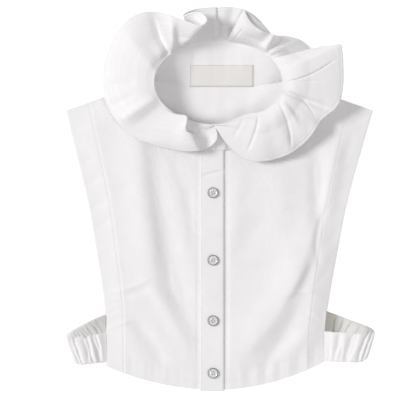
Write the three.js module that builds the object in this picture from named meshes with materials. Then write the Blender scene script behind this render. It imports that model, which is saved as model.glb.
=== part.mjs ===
// A white cotton dickey with a ruffled collar, laid flat on its back. Millimetres. +X is to the right of
// someone looking down at it, +Y runs from the hem to the collar, +Z is up from the surface it lies on.
import * as THREE from "three";

// Cloth and seams
const CLOTH = 1.2;
const SEAM = 0.3;
const BACK_TOP = CLOTH;
const FRONT_REST = BACK_TOP + SEAM + CLOTH;

// Closing edge at the centre front
const PLACKET = { left: -22.5, right: 4.4, middle: -7.7, thick: 1.2, drop: 1.3, gap: 0.45 };
const LEFT_FRONT_EDGE = -20;
const RIGHT_FRONT_EDGE = -18;

// Half widths of the body, hem to shoulder tip: y, x of the left edge, x of the right edge
const SIDES = [
  { y: -185, left: -125.6, right: 115.4 },
  { y: -145, left: -126.2, right: 115.4 },
  { y: -110, left: -128, right: 120.1 },
  { y: -60, left: -135.5, right: 129 },
  { y: 0, left: -146, right: 141 },
  { y: 60, left: -160.5, right: 157.6 },
  { y: 98, left: -169.4, right: 168.6 },
];
const SHOULDER = { y: 98, neckY: 131.5, neckLeft: -77, neckRight: 73.7, share: 0.46 };
const HEM = { y: -209.2, x: -5, riseLeft: 0.00178, riseRight: 0.00215 };

// Neck: the seam to the body, and the ring where stand and ruffle meet
const NECK = { x: -2, y: 131, halfWidth: 75.5, drop: 76.5, backDip: 7.5 };
const RING = { x: -2, y: 128, halfWidth: 70, halfHeight: 46, zFront: 24, zSide: 34, zBack: 14 };
const OPENING = { start: 0.016, end: 1.0105 };

// How far the front lifts off the back away from its edges
const EASE = { lift: 3.3, side: 34, hem: 30, shoulder: 30, hemShare: 0.3 };

// Soft folds of the front: a ridge or trough from one end to the other, its half width and its height
const FOLDS = [
  { x0: -96, y0: 72, x1: -80, y1: -70, bow: 4, wide: 15, high: 5.5 },
  { x0: -80, y0: 70, x1: -46, y1: -150, bow: -7, wide: 11, high: -3.6 },
  { x0: -67, y0: 60, x1: -33, y1: -120, bow: -5, wide: 10, high: 3.2 },
  { x0: -128, y0: -103, x1: -78, y1: -91, bow: 1.5, wide: 3.4, high: 2.6 },
  { x0: -97, y0: -96, x1: -58, y1: -190, bow: -5, wide: 11, high: 3.4 },
  { x0: 100, y0: 40, x1: 100, y1: -30, bow: 3, wide: 11, high: -3.2 },
  { x0: 88, y0: 48, x1: 84, y1: -20, bow: 2, wide: 10, high: 2.8 },
  { x0: 106, y0: -12, x1: 70, y1: -112, bow: -6, wide: 11, high: 4.6 },
  { x0: 116, y0: -22, x1: 86, y1: -104, bow: -5, wide: 7, high: -2.6 },
  { x0: 86, y0: -112, x1: 14, y1: -178, bow: -9, wide: 13, high: 4.4 },
  { x0: 96, y0: -128, x1: 34, y1: -182, bow: -8, wide: 8, high: -2.2 },
  { x0: 40, y0: 30, x1: 34, y1: -120, bow: -4, wide: 20, high: 2.4 },
];

// Armhole bands: their width at the shoulder and at the waist
const BANDS = {
  left: { shoulder: 25, waist: 20 },
  right: { shoulder: 26, waist: 17 },
  thick: 1,
  columns: 3,
};
const FRONT_GRID = { rows: 28, columns: 16 };

// The ruffle, one rib a row: share of the way round the ring from the centre front, clockwise as seen from
// above; place of the hem there; how far the cloth arches between ring and hem
const RUFFLE_RIBS = [
  { u: 0.016, x: -7.2, y: 79.5, z: 25.5, arch: 0 },
  { u: 0.03, x: -3.6, y: 71, z: 27, arch: 1 },
  { u: 0.046, x: -4.4, y: 62, z: 25, arch: 0 },
  { u: 0.062, x: -11, y: 56.5, z: 19, arch: -2 },
  { u: 0.078, x: -18, y: 54.5, z: 18, arch: 2 },
  { u: 0.1, x: -33, y: 53, z: 19, arch: 7 },
  { u: 0.125, x: -54, y: 56.5, z: 16, arch: 6 },
  { u: 0.148, x: -77, y: 62.5, z: 18, arch: 5 },
  { u: 0.17, x: -98, y: 71, z: 14, arch: 7 },
  { u: 0.195, x: -113, y: 86, z: 14, arch: 9 },
  { u: 0.22, x: -123.5, y: 106, z: 22, arch: 5 },
  { u: 0.248, x: -127, y: 126, z: 15, arch: 8 },
  { u: 0.276, x: -125.5, y: 147, z: 23, arch: 5 },
  { u: 0.3, x: -119.5, y: 167, z: 19, arch: 7 },
  { u: 0.32, x: -109, y: 186, z: 30, arch: 5 },
  { u: 0.337, x: -94, y: 200.5, z: 34, arch: 3 },
  { u: 0.353, x: -76, y: 205, z: 36, arch: 5 },
  { u: 0.368, x: -57, y: 201.5, z: 46, arch: 2 },
  { u: 0.383, x: -41, y: 196, z: 54, arch: 1 },
  { u: 0.396, x: -25, y: 190, z: 59, arch: 3 },
  { u: 0.406, x: -15, y: 192, z: 56, arch: 3 },
  { u: 0.417, x: -16.5, y: 201, z: 50, arch: 0 },
  { u: 0.43, x: -26.5, y: 205.5, z: 43, arch: -3 },
  { u: 0.45, x: -23, y: 208, z: 38, arch: -5 },
  { u: 0.475, x: -9, y: 209.3, z: 44, arch: -2 },
  { u: 0.505, x: 4, y: 210, z: 40, arch: -5 },
  { u: 0.535, x: 17, y: 209, z: 46, arch: -2 },
  { u: 0.56, x: 27, y: 207, z: 52, arch: 0 },
  { u: 0.582, x: 39, y: 197, z: 36, arch: -3 },
  { u: 0.604, x: 53.5, y: 182, z: 34, arch: 1 },
  { u: 0.63, x: 69, y: 178.5, z: 43, arch: 2 },
  { u: 0.656, x: 86, y: 177, z: 36, arch: -2 },
  { u: 0.68, x: 98, y: 166, z: 27, arch: 0 },
  { u: 0.703, x: 110, y: 167.5, z: 36, arch: 5 },
  { u: 0.725, x: 129.5, y: 169, z: 42, arch: 3 },
  { u: 0.748, x: 134.5, y: 152, z: 36, arch: 4 },
  { u: 0.778, x: 133.5, y: 127, z: 32, arch: 4 },
  { u: 0.806, x: 127.5, y: 105, z: 30, arch: 4 },
  { u: 0.832, x: 113, y: 90, z: 24, arch: 5 },
  { u: 0.858, x: 103, y: 75, z: 27, arch: 4 },
  { u: 0.885, x: 82, y: 51.5, z: 20, arch: 6 },
  { u: 0.915, x: 53, y: 42.5, z: 19, arch: 5 },
  { u: 0.945, x: 26, y: 46.5, z: 18, arch: 6 },
  { u: 0.97, x: 9, y: 59, z: 21, arch: 3 },
  { u: 0.99, x: -2, y: 71.5, z: 24, arch: 1 },
  { u: 1.0105, x: -6.2, y: 79, z: 25.5, arch: 0 },
];

// Elastic side straps: a front leg over a back leg, folded at the outer end. Centre line, one bend a row
const STRAP = { wide: 33, thick: 4.2, gathers: 14, puff: 1.2, slimEnd: 0.55, sides: 8 };
const STEPS_A_GATHER = 4;
const STRAP_LEFT = [
  { x: -126.4, y: -162.3, z: 4.9, turn: 0 },
  { x: -142, y: -164, z: 8.8, turn: -2 },
  { x: -157, y: -165.3, z: 9, turn: -10 },
  { x: -163.8, y: -163.5, z: 5.9, turn: -17 },
  { x: -157, y: -159, z: 3.1, turn: -22 },
  { x: -143, y: -151.5, z: 3, turn: -26 },
  { x: -127.6, y: -143.5, z: 1.8, turn: -3 },
];
const STRAP_RIGHT = [
  { x: 115.9, y: -161.3, z: 4.9, turn: 0 },
  { x: 133, y: -162, z: 8.8, turn: 2 },
  { x: 155, y: -162.5, z: 9, turn: 10 },
  { x: 163.8, y: -159.5, z: 5.9, turn: 17 },
  { x: 156, y: -154.5, z: 3.1, turn: 19 },
  { x: 136, y: -147.2, z: 3, turn: 20 },
  { x: 117.9, y: -140, z: 1.8, turn: 5 },
];

// Buttons and label
const BUTTON = { across: 11.6, thick: 2.6, rim: 1.3, dish: 0.7, edge: 0.6, gap: 0.35 };
const BUTTON_Y = [7.5, -66.5, -133, -190.5];
const LABEL = { x: 1.5, y: 136, wide: 70, high: 24, thick: 1, gap: 0.55 };

const clamp01 = (v) => Math.min(1, Math.max(0, v));
const smooth = (v) => clamp01(v) ** 2 * (3 - 2 * clamp01(v));
const lerp = (a, b, t) => a + (b - a) * t;
const TURN = 2 * Math.PI;

// A smooth curve through the rows of a table, read at one value of its key column
function through(rows, key, name) {
  return (at) => {
    let i = rows.findIndex((row) => row[key] > at) - 1;
    if (i < 0) i = at <= rows[0][key] ? 0 : rows.length - 2;
    const [p, q] = [rows[i], rows[i + 1]];
    const slope = (a, b) => (b[name] - a[name]) / (b[key] - a[key]);
    const here = slope(p, q);
    const into = i > 0 ? (slope(rows[i - 1], p) + here) / 2 : here;
    const out = i < rows.length - 2 ? (here + slope(q, rows[i + 2])) / 2 : here;
    const span = q[key] - p[key];
    const t = clamp01((at - p[key]) / span);
    return (
      p[name] * (1 - t) ** 2 * (1 + 2 * t) +
      into * span * t * (1 - t) ** 2 +
      q[name] * t ** 2 * (3 - 2 * t) -
      out * span * t ** 2 * (1 - t)
    );
  };
}

const leftEdge = through(SIDES, "y", "left");
const rightEdge = through(SIDES, "y", "right");
const hemY = (x) => HEM.y + (x < HEM.x ? HEM.riseLeft : HEM.riseRight) * (x - HEM.x) ** 2;

function shoulderY(x) {
  const [tip, neck] =
    x < 0 ? [leftEdge(SHOULDER.y), SHOULDER.neckLeft] : [rightEdge(SHOULDER.y), SHOULDER.neckRight];
  return lerp(SHOULDER.y, SHOULDER.neckY, clamp01((x - tip) / (neck - tip)));
}

// The neck seam on the body, in plan: deep at the front, nearly straight across the back
function neckSeam(u) {
  const [s, c] = [Math.sin(TURN * u), Math.cos(TURN * u)];
  const x = NECK.x - NECK.halfWidth * s;
  const y = NECK.y - (c > 0 ? NECK.drop * c : NECK.backDip * c * c);
  return { x, y };
}

// The ring at the top of the stand
function ring(u) {
  const [s, c] = [Math.sin(TURN * u), Math.cos(TURN * u)];
  const z = RING.zSide + (c > 0 ? (RING.zFront - RING.zSide) * c * c : (RING.zBack - RING.zSide) * c * c);
  const flat = 6 * Math.exp(-(((u - 0.93) / 0.045) ** 2));
  return new THREE.Vector3(RING.x - RING.halfWidth * s, RING.y - RING.halfHeight * c + flat, z);
}

// Height of the top of the front panels over the surface they lie on
function frontTop(x, y) {
  const side = smooth(Math.min(x - leftEdge(y), rightEdge(y) - x) / EASE.side);
  const hem = lerp(EASE.hemShare, 1, smooth((y - hemY(x)) / EASE.hem));
  const shoulder = smooth((shoulderY(x) - y) / EASE.shoulder);
  let lift = EASE.lift;
  for (const f of FOLDS) {
    const [dx, dy] = [f.x1 - f.x0, f.y1 - f.y0];
    const long = Math.hypot(dx, dy);
    const t = ((x - f.x0) * dx + (y - f.y0) * dy) / long ** 2;
    if (t < -0.25 || t > 1.25) continue;
    const across = ((x - f.x0) * dy - (y - f.y0) * dx) / long - f.bow * 4 * t * (1 - t);
    const ends = smooth((t + 0.25) / 0.5) * smooth((1.25 - t) / 0.5);
    lift += f.high * ends * Math.exp(-((across / f.wide) ** 2));
  }
  return FRONT_REST + side * hem * shoulder * Math.max(lift, 0.8);
}

// A closed wall between two grids of points, rows by columns, the first grid on the side it faces
function wall(outer, inner) {
  const [rows, columns] = [outer.length, outer[0].length];
  const position = [];
  for (const grid of [outer, inner])
    for (const row of grid) for (const p of row) position.push(p.x, p.y, p.z);
  const at = (side, i, j) => side * rows * columns + i * columns + j;
  const index = [];
  const quad = (a, b, c, d) => index.push(a, b, c, a, c, d);
  for (let i = 0; i < rows - 1; i++)
    for (let j = 0; j < columns - 1; j++) {
      quad(at(0, i, j), at(0, i, j + 1), at(0, i + 1, j + 1), at(0, i + 1, j));
      quad(at(1, i, j), at(1, i + 1, j), at(1, i + 1, j + 1), at(1, i, j + 1));
    }
  for (let j = 0; j < columns - 1; j++) {
    quad(at(0, 0, j), at(1, 0, j), at(1, 0, j + 1), at(0, 0, j + 1));
    quad(at(0, rows - 1, j), at(0, rows - 1, j + 1), at(1, rows - 1, j + 1), at(1, rows - 1, j));
  }
  for (let i = 0; i < rows - 1; i++) {
    quad(at(0, i, 0), at(0, i + 1, 0), at(1, i + 1, 0), at(1, i, 0));
    quad(at(0, i, columns - 1), at(1, i, columns - 1), at(1, i + 1, columns - 1), at(0, i + 1, columns - 1));
  }
  const geometry = new THREE.BufferGeometry();
  geometry.setAttribute("position", new THREE.Float32BufferAttribute(position, 3));
  geometry.setIndex(index);
  geometry.computeVertexNormals();
  return geometry;
}

const grid = (rows, columns, point) =>
  Array.from({ length: rows + 1 }, (_, i) =>
    Array.from({ length: columns + 1 }, (_, j) => point(i / rows, j / columns)),
  );

// A wall of even thickness about a middle surface
function shell(rows, columns, middle, thick) {
  const step = 1e-3;
  const face = (side) => (v, u) => {
    const p = middle(v, u);
    const along = middle(v, Math.min(u + step, 1)).sub(middle(v, Math.max(u - step, 0)));
    const up = middle(Math.min(v + step, 1), u).sub(middle(Math.max(v - step, 0), u));
    return p.addScaledVector(along.cross(up).normalize(), (side * thick) / 2);
  };
  return wall(grid(rows, columns, face(1)), grid(rows, columns, face(-1)));
}

// A panel in plan, bounded by four curves, blended over its inside
function patch(bottom, top, left, right) {
  return (v, u) => {
    const mix = (name) => {
      const [b, t, l, r] = [bottom(u), top(u), left(v), right(v)].map((p) => p[name]);
      const corners = [bottom(0), bottom(1), top(0), top(1)].map((p) => p[name]);
      const flat = lerp(lerp(corners[0], corners[1], u), lerp(corners[2], corners[3], u), v);
      return lerp(b, t, v) + lerp(l, r, u) - flat;
    };
    return { x: mix("x"), y: mix("y") };
  };
}

// The share of the way round at which the front neck seam reaches a given x
const seamAt = (x) => {
  const quarter = Math.asin(clamp01(Math.abs(x - NECK.x) / NECK.halfWidth)) / TURN;
  return x < NECK.x ? quarter : 1 - quarter;
};
const INTO_NECK = 1.1;
const trimmed = (u) => {
  const p = neckSeam(u);
  const away = Math.hypot(p.x - NECK.x, p.y - NECK.y);
  const share = 1 - INTO_NECK / away;
  return { x: NECK.x + (p.x - NECK.x) * share, y: NECK.y + (p.y - NECK.y) * share };
};

// One front in plan, read from its armhole edge (u 0) to the centre (u 1), hem (v 0) to neck (v 1)
function frontPlan(side) {
  const isLeft = side === "left";
  const edge = isLeft ? leftEdge : rightEdge;
  const centre = isLeft ? LEFT_FRONT_EDGE : RIGHT_FRONT_EDGE;
  const waistX = edge(SIDES[0].y);
  const tip = { x: edge(SHOULDER.y), y: SHOULDER.y };
  const neckU = isLeft ? 0.25 : 0.75;
  const centreU = isLeft ? seamAt(centre) : 1 + seamAt(centre);
  const neck = trimmed(neckU);
  const bottom = (u) => {
    const x = lerp(waistX, centre, u);
    return { x, y: hemY(x) };
  };
  const top = (u) => {
    const along = u / SHOULDER.share;
    if (along <= 1) return { x: lerp(tip.x, neck.x, along), y: lerp(tip.y, neck.y, along) };
    return trimmed(lerp(neckU, centreU, (u - SHOULDER.share) / (1 - SHOULDER.share)));
  };
  const outside = (v) => {
    const y = lerp(hemY(waistX), SHOULDER.y, v);
    return { x: edge(y), y };
  };
  const inside = (v) => ({ x: centre, y: lerp(hemY(centre), top(1).y, v) });
  const plan = patch(bottom, top, outside, inside);
  const { waist, shoulder } = BANDS[side];
  const waistShare = waist / Math.abs(waistX - centre);
  const shoulderShare = (SHOULDER.share * shoulder) / Math.abs(tip.x - neck.x);
  const split = BANDS.columns / FRONT_GRID.columns;
  return (v, u) => {
    const bandShare = lerp(waistShare, shoulderShare, v);
    const share = u <= split ? (bandShare * u) / split : lerp(bandShare, 1, (u - split) / (1 - split));
    return plan(v, share);
  };
}

const mirrored = (side, plan) => (side === "left" ? plan : (v, u) => plan(v, 1 - u));

// A panel that follows the top of the fronts, lifted by a gap
function laid(rows, columns, plan, above, thick) {
  const point = (height) => (v, u) => {
    const p = plan(v, u);
    return { ...p, z: frontTop(p.x, p.y) + height };
  };
  return wall(grid(rows, columns, point(above + thick)), grid(rows, columns, point(above)));
}

const cotton = () => new THREE.MeshStandardMaterial({ color: 0xf0f0ef, roughness: 0.85, metalness: 0 });
const shellButton = () => new THREE.MeshStandardMaterial({ color: 0xc9c9c6, roughness: 0.25, metalness: 0.1 });
const wovenLabel = () => new THREE.MeshStandardMaterial({ color: 0xe9e6e1, roughness: 0.7, metalness: 0 });

const part = new THREE.Group();
function add(name, geometry, material) {
  const mesh = new THREE.Mesh(geometry, material);
  mesh.name = name;
  part.add(mesh);
  return mesh;
}

// Back: one flat panel, its outline in straight steps of the same edges
function backPanel() {
  const steps = 14;
  const run = (count, point) => Array.from({ length: count }, (_, i) => point(i / count));
  const low = SIDES[0].y;
  const [lowLeft, lowRight] = [leftEdge(low), rightEdge(low)];
  const hemAt = (x) => ({ x, y: hemY(x) });
  const outline = [
    ...run(steps, (t) => hemAt(lerp(lowLeft, lowRight, t))),
    ...run(steps, (t) => {
      const y = lerp(hemY(lowRight), SHOULDER.y, t);
      return { x: rightEdge(y), y };
    }),
    { x: rightEdge(SHOULDER.y), y: SHOULDER.y },
    ...run(steps, (t) => neckSeam(0.75 - 0.5 * t)),
    neckSeam(0.25),
    ...run(steps, (t) => {
      const y = lerp(SHOULDER.y, hemY(lowLeft), t);
      return { x: leftEdge(y), y };
    }),
  ];
  const shape = new THREE.Shape(outline.map((p) => new THREE.Vector2(p.x, p.y)));
  return new THREE.ExtrudeGeometry(shape, { depth: CLOTH, bevelEnabled: false });
}

function front(side) {
  const { rows, columns } = FRONT_GRID;
  return laid(rows, columns, mirrored(side, frontPlan(side)), -CLOTH, CLOTH);
}

// Armhole band: the outermost columns of the front again, one layer up
function armholeBand(side) {
  const plan = frontPlan(side);
  const split = BANDS.columns / FRONT_GRID.columns;
  const strip = (v, u) => plan(v, u * split);
  return laid(FRONT_GRID.rows, BANDS.columns, mirrored(side, strip), SEAM, BANDS.thick);
}

// Placket: the buttonhole band of the left front, over the edge of the right front
function placket() {
  const plan = (v, u) => {
    const x = lerp(PLACKET.left, PLACKET.right, u);
    const top = trimmed(seamAt(x)).y;
    return { x, y: lerp(hemY(PLACKET.middle) - PLACKET.drop, top, v) };
  };
  return laid(36, 3, plan, PLACKET.gap, PLACKET.thick);
}

// Stand: from the neck seam up to the ring, open at the centre front
const STAND_LIFT = SEAM + CLOTH / 2 + 0.25;
function standMiddle(v, share) {
  const u = lerp(OPENING.start, OPENING.end, share);
  const low = neckSeam(u);
  const onFront = smooth((Math.cos(TURN * u) + 0.22) / 0.24);
  const rest = lerp(BACK_TOP, frontTop(low.x, low.y), onFront);
  const seat = rest + STAND_LIFT + onFront * standOverPlacket(low.x);
  const from = new THREE.Vector3(low.x, low.y, seat);
  return from.lerp(ring(u), v);
}
function standOverPlacket(x) {
  const onIt = smooth((x - PLACKET.left + 5) / 4) * smooth((PLACKET.right + 5 - x) / 4);
  return (PLACKET.thick + PLACKET.gap + 0.2) * onIt;
}

// Ruffle: ribs from the ring to the hem, smooth in between
const RUFFLE_ROOT = 1.2;
const rib = Object.fromEntries(
  ["x", "y", "z", "arch"].map((name) => [name, through(RUFFLE_RIBS, "u", name)]),
);
function ruffleMiddle(v, share) {
  const u = lerp(OPENING.start, OPENING.end, share);
  const root = ring(u);
  root.z += RUFFLE_ROOT;
  const hem = new THREE.Vector3(rib.x(u), rib.y(u), rib.z(u));
  const p = root.lerp(hem, v);
  p.z += rib.arch(u) * 4 * v * (1 - v) + 3 * Math.sin(Math.PI * Math.min(1, 2.2 * v)) * smooth(v * 6);
  return p;
}

// Strap: a gathered casing, oval in section, along a folded centre line
function strap(rows) {
  const reached = rows.map((row, i) => ({ ...row, s: i }));
  const line = Object.fromEntries(["x", "y", "z", "turn"].map((n) => [n, through(reached, "s", n)]));
  const centre = (s) => new THREE.Vector3(line.x(s), line.y(s), line.z(s));
  const steps = STRAP.gathers * STEPS_A_GATHER;
  const sides = STRAP.sides;
  const last = rows.length - 1;
  const position = [];
  for (let i = 0; i <= steps; i++) {
    const s = (last * i) / steps;
    const p = centre(s);
    const ahead = centre(Math.min(s + 0.01, last)).sub(centre(Math.max(s - 0.01, 0)));
    const lean = THREE.MathUtils.degToRad(line.turn(s));
    const across = new THREE.Vector3(Math.sin(lean), Math.cos(lean), 0);
    const out = ahead.clone().cross(across).normalize();
    const wave = Math.cos((TURN * i) / STEPS_A_GATHER);
    const flat = lerp(STRAP.slimEnd, 1, smooth(Math.min(i, steps - i) / 5));
    for (let k = 0; k < sides; k++) {
      const angle = (TURN * (k + 0.5)) / sides;
      const wide = (STRAP.wide / 2) * Math.sign(Math.cos(angle)) * Math.abs(Math.cos(angle)) ** 0.5;
      const thick = (STRAP.thick / 2 + (STRAP.puff / 2) * wave) * flat * Math.sin(angle);
      const q = p.clone().addScaledVector(across, wide).addScaledVector(out, thick);
      position.push(q.x, q.y, q.z);
    }
  }
  const index = [];
  for (let i = 0; i < steps; i++)
    for (let k = 0; k < sides; k++) {
      const [a, b] = [i * sides + k, i * sides + ((k + 1) % sides)];
      index.push(a, b + sides, a + sides, a, b, b + sides);
    }
  for (let k = 1; k < sides - 1; k++) {
    index.push(0, k + 1, k);
    index.push(steps * sides, steps * sides + k, steps * sides + k + 1);
  }
  const geometry = new THREE.BufferGeometry();
  geometry.setAttribute("position", new THREE.Float32BufferAttribute(position, 3));
  geometry.setIndex(index);
  geometry.computeVertexNormals();
  return geometry;
}

// Button: a turned disc with a raised rim round a shallow dish
function button() {
  const r = BUTTON.across / 2;
  const profile = [
    [0, 0],
    [r - BUTTON.edge, 0],
    [r, BUTTON.thick * 0.45],
    [r - BUTTON.edge / 2, BUTTON.thick],
    [r - BUTTON.rim, BUTTON.thick],
    [r - BUTTON.rim - BUTTON.dish, BUTTON.thick - BUTTON.dish],
    [0, BUTTON.thick - BUTTON.dish],
  ].map(([across, up]) => new THREE.Vector2(across, up));
  return new THREE.LatheGeometry(profile, 16).rotateX(Math.PI / 2);
}

// Label: a small flat rectangle on the inside of the stand, which leans back behind it
function label() {
  const onStand = (x, y) => {
    let v = 0.5;
    let share = 0.5;
    for (let pass = 0; pass < 12; pass++) {
      const p = standMiddle(v, share);
      share += (x - p.x) / 420;
      v += (y - p.y) / 50;
    }
    return standMiddle(v, share);
  };
  const point = (height) => (v, u) => {
    const [x, y] = [LABEL.x + LABEL.wide * (u - 0.5), LABEL.y + LABEL.high * (v - 0.5)];
    return { x, y, z: onStand(x, y).z + CLOTH / 2 + LABEL.gap + height };
  };
  return wall(grid(3, 10, point(LABEL.thick)), grid(3, 10, point(0)));
}

add("back_panel", backPanel(), cotton());
add("front_left", front("left"), cotton());
add("front_right", front("right"), cotton());
add("placket", placket(), cotton());
add("armhole_band_left", armholeBand("left"), cotton());
add("armhole_band_right", armholeBand("right"), cotton());
add("stand", shell(3, 60, standMiddle, CLOTH), cotton());
add("ruffle", shell(6, 132, ruffleMiddle, CLOTH), cotton());
add("label", label(), wovenLabel());
add("strap_left", strap(STRAP_LEFT), cotton());
add("strap_right", strap(STRAP_RIGHT), cotton());
BUTTON_Y.forEach((y, i) => {
  const mesh = add("button_" + (i + 1), button(), shellButton());
  const reach = BUTTON.across / 2;
  const [low, high] = [-reach, reach].map((step) => frontTop(PLACKET.middle, y + step));
  const under = Math.max((low + high) / 2, frontTop(PLACKET.middle, y)) + PLACKET.gap + PLACKET.thick;
  mesh.rotation.x = Math.atan2(high - low, BUTTON.across);
  mesh.position.set(PLACKET.middle, y, under + BUTTON.gap);
});

export default part;
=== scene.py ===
# %% [markdown]
# A white cotton dickey, the false front of a blouse, laid flat and seen from straight above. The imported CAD
# model holds every piece at its real size. This notebook dresses it: each panel becomes a thin sheet of
# cotton on the form of its solid, with creases, seams, stitches, pearly buttons and gathered side straps.

# %% Load the frame and keep its box
import math

import bmesh
import bpy
import numpy as np
from mathutils import Matrix, Vector


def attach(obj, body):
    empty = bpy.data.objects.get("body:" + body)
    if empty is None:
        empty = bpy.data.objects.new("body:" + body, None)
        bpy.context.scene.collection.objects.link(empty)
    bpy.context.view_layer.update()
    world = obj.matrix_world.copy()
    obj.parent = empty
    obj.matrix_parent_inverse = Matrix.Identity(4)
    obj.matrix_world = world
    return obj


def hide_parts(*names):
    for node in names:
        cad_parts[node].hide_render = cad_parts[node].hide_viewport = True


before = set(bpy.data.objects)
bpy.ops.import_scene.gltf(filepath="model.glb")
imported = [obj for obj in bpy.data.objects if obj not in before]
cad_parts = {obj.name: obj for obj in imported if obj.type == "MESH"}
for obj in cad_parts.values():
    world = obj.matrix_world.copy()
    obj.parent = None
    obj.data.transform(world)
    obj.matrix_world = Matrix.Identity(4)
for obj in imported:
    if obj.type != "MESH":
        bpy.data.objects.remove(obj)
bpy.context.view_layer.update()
MM = 0.001

# %% [markdown]
# Lengths below are in millimetres, the unit a pattern cutter uses, and become metres where a mesh is made.
# Shapes come from short tables, one row for each section, fold or gather, whose columns are named once at
# the top. Many edges are smooth curves through such rows. A cubic through the rows with slopes taken from
# the neighbours gives such a curve without overshooting much.

# %% Tables and the curves through them
TURN = 2 * math.pi


def table(columns, rows):
    """A table as a list of dictionaries, with the names of its columns given once."""
    return [dict(zip(columns.split(), row)) for row in rows]


def lerp(a, b, t):
    return a + (b - a) * t


def smooth(t):
    t = np.clip(t, 0, 1)
    return t * t * (3 - 2 * t)


def through(rows, key, name):
    """A smooth function through one column of a table of rows, read at values of its key column."""
    k = np.array([row[key] for row in rows], float)
    f = np.array([row[name] for row in rows], float)
    step = np.diff(f) / np.diff(k)
    slope = np.concatenate([step[:1], (step[1:] + step[:-1]) / 2, step[-1:]])

    def at(x):
        i = np.clip(np.searchsorted(k, x, side="right") - 1, 0, len(k) - 2)
        span = k[i + 1] - k[i]
        t = np.clip((x - k[i]) / span, 0, 1)
        near = f[i] * (1 - t) ** 2 * (1 + 2 * t) + slope[i] * span * t * (1 - t) ** 2
        far = f[i + 1] * t**2 * (3 - 2 * t) - slope[i + 1] * span * t**2 * (1 - t)
        return near + far

    return at


# %% [markdown]
# The photograph looks straight down. A long lens far above the garment keeps the raised collar from growing
# in the picture. The frame it takes in is 452 mm wide; the garment is 339 mm wide and 421 mm long.

# %% Camera
scene = bpy.context.scene
SENSOR = 36.0
VIEW_WIDE = 452.1
VIEW_CENTRE = (-15.9, -0.5)
CAMERA_UP = 4000.0


def linked(name, data):
    """A new object for this data, linked to the scene."""
    obj = bpy.data.objects.new(name, data)
    scene.collection.objects.link(obj)
    return obj


camera_data = bpy.data.cameras.new("camera")
camera_data.sensor_width = SENSOR
camera_data.lens = SENSOR * CAMERA_UP / VIEW_WIDE
camera_data.clip_end = 20
camera = linked("camera", camera_data)
camera.location = (VIEW_CENTRE[0] * MM, VIEW_CENTRE[1] * MM, CAMERA_UP * MM)
scene.camera = camera
print("lens, mm:", round(camera_data.lens, 1))

# %% [markdown]
# Three helpers make every finish. One turns an sRGB hex colour into the linear numbers that a shader needs,
# one adds any node with its settings and links, and one starts a material.

# %% Material helpers
def linear(hex_colour):
    """An sRGB hex colour as linear red, green, blue and alpha."""
    parts = [int(hex_colour[i : i + 2], 16) / 255 for i in (1, 3, 5)]
    return [p / 12.92 if p <= 0.04045 else ((p + 0.055) / 1.055) ** 2.4 for p in parts] + [1.0]


COLOUR_MIX = {"data_type": "RGBA"}


def add_node(tree, kind, settings=None, **sockets):
    """A node with its settings, and its sockets, by name or _number, set to a value or linked."""
    node = tree.nodes.new(kind)
    for name, value in (settings or {}).items():
        setattr(node, name, value)
    for name, value in sockets.items():
        socket = node.inputs[int(name[1:])] if name[1:].isdigit() else node.inputs[name.replace("_", " ")]
        if isinstance(value, bpy.types.NodeSocket):
            tree.links.new(value, socket)
        else:
            socket.default_value = value
    return node


def new_material(name, **surface):
    """A material with a Principled surface, its sockets set, and its node tree ready for a pattern."""
    material = bpy.data.materials.new(name)
    material.use_nodes = True
    tree = material.node_tree
    shader = tree.nodes["Principled BSDF"]
    for socket, value in surface.items():
        shader.inputs[socket.replace("_", " ")].default_value = value
    return material, tree, shader


# %% [markdown]
# Cotton poplin is a close plain weave of bleached yarn. It is matt, lets a little light through, and has a
# faint bloom at grazing angles. Its threads are 0.2 mm apart, too fine to show here, so the weave is drawn
# 0.9 mm apart and very low. Slow mottling stands for the tiny rumples that ironing leaves.

# %% Cotton poplin
WEAVE_STEP = 0.9
RUMPLE = 16.0


def waves_apart(step):
    """The scale that sets a wave texture's bands this many millimetres apart."""
    return TURN / (step * MM) / 20


def cotton_poplin(name, colour, rumple_depth, light="#F0EEEF"):
    """Poplin mottled between two colours, with rumples of a depth in millimetres."""
    material, tree, shader = new_material(name, Roughness=0.82, Sheen_Weight=0.12, Sheen_Roughness=0.5)
    place = add_node(tree, "ShaderNodeUVMap", {"uv_map": "cloth"}).outputs["UV"]
    threads = []
    for axis in ("X", "Y"):
        settings = {"bands_direction": axis, "wave_profile": "SIN"}
        scale = waves_apart(WEAVE_STEP)
        wave = add_node(
            tree, "ShaderNodeTexWave", settings, Vector=place, Scale=scale, Distortion=0.6, Detail=1.0
        )
        threads.append(wave.outputs["Fac"])
    weave = add_node(tree, "ShaderNodeMath", {"operation": "MULTIPLY"}, _0=threads[0], _1=threads[1])
    scale = 1 / (RUMPLE * MM)
    slub = add_node(tree, "ShaderNodeTexNoise", Vector=place, Scale=scale, Detail=5.0, Roughness=0.55)
    slub = slub.outputs["Fac"]
    tint = add_node(tree, "ShaderNodeMix", COLOUR_MIX, _0=slub, _6=linear(colour), _7=linear(light))
    tree.links.new(tint.outputs[2], shader.inputs["Base Color"])
    fine = add_node(tree, "ShaderNodeBump", Strength=0.25, Distance=0.05 * MM, Height=weave.outputs["Value"])
    depth, normal = rumple_depth * MM, fine.outputs["Normal"]
    rumpled = add_node(tree, "ShaderNodeBump", Strength=0.5, Distance=depth, Height=slub, Normal=normal)
    tree.links.new(rumpled.outputs["Normal"], shader.inputs["Normal"])
    return material


poplin = cotton_poplin("cotton_poplin", "#E7E5E6", 1.4)
pressed_poplin = cotton_poplin("pressed_cotton_poplin", "#E9E7E8", 0.8)
print("made", poplin.name, "and", pressed_poplin.name)

# %% [markdown]
# The stitches are spun cotton thread, a shade greyer than the cloth because each one casts its own small
# shadow. The garment lies on a light table, a sheet of opal acrylic lit from behind, which is how a product
# comes to stand on pure white without a shadow.

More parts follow.
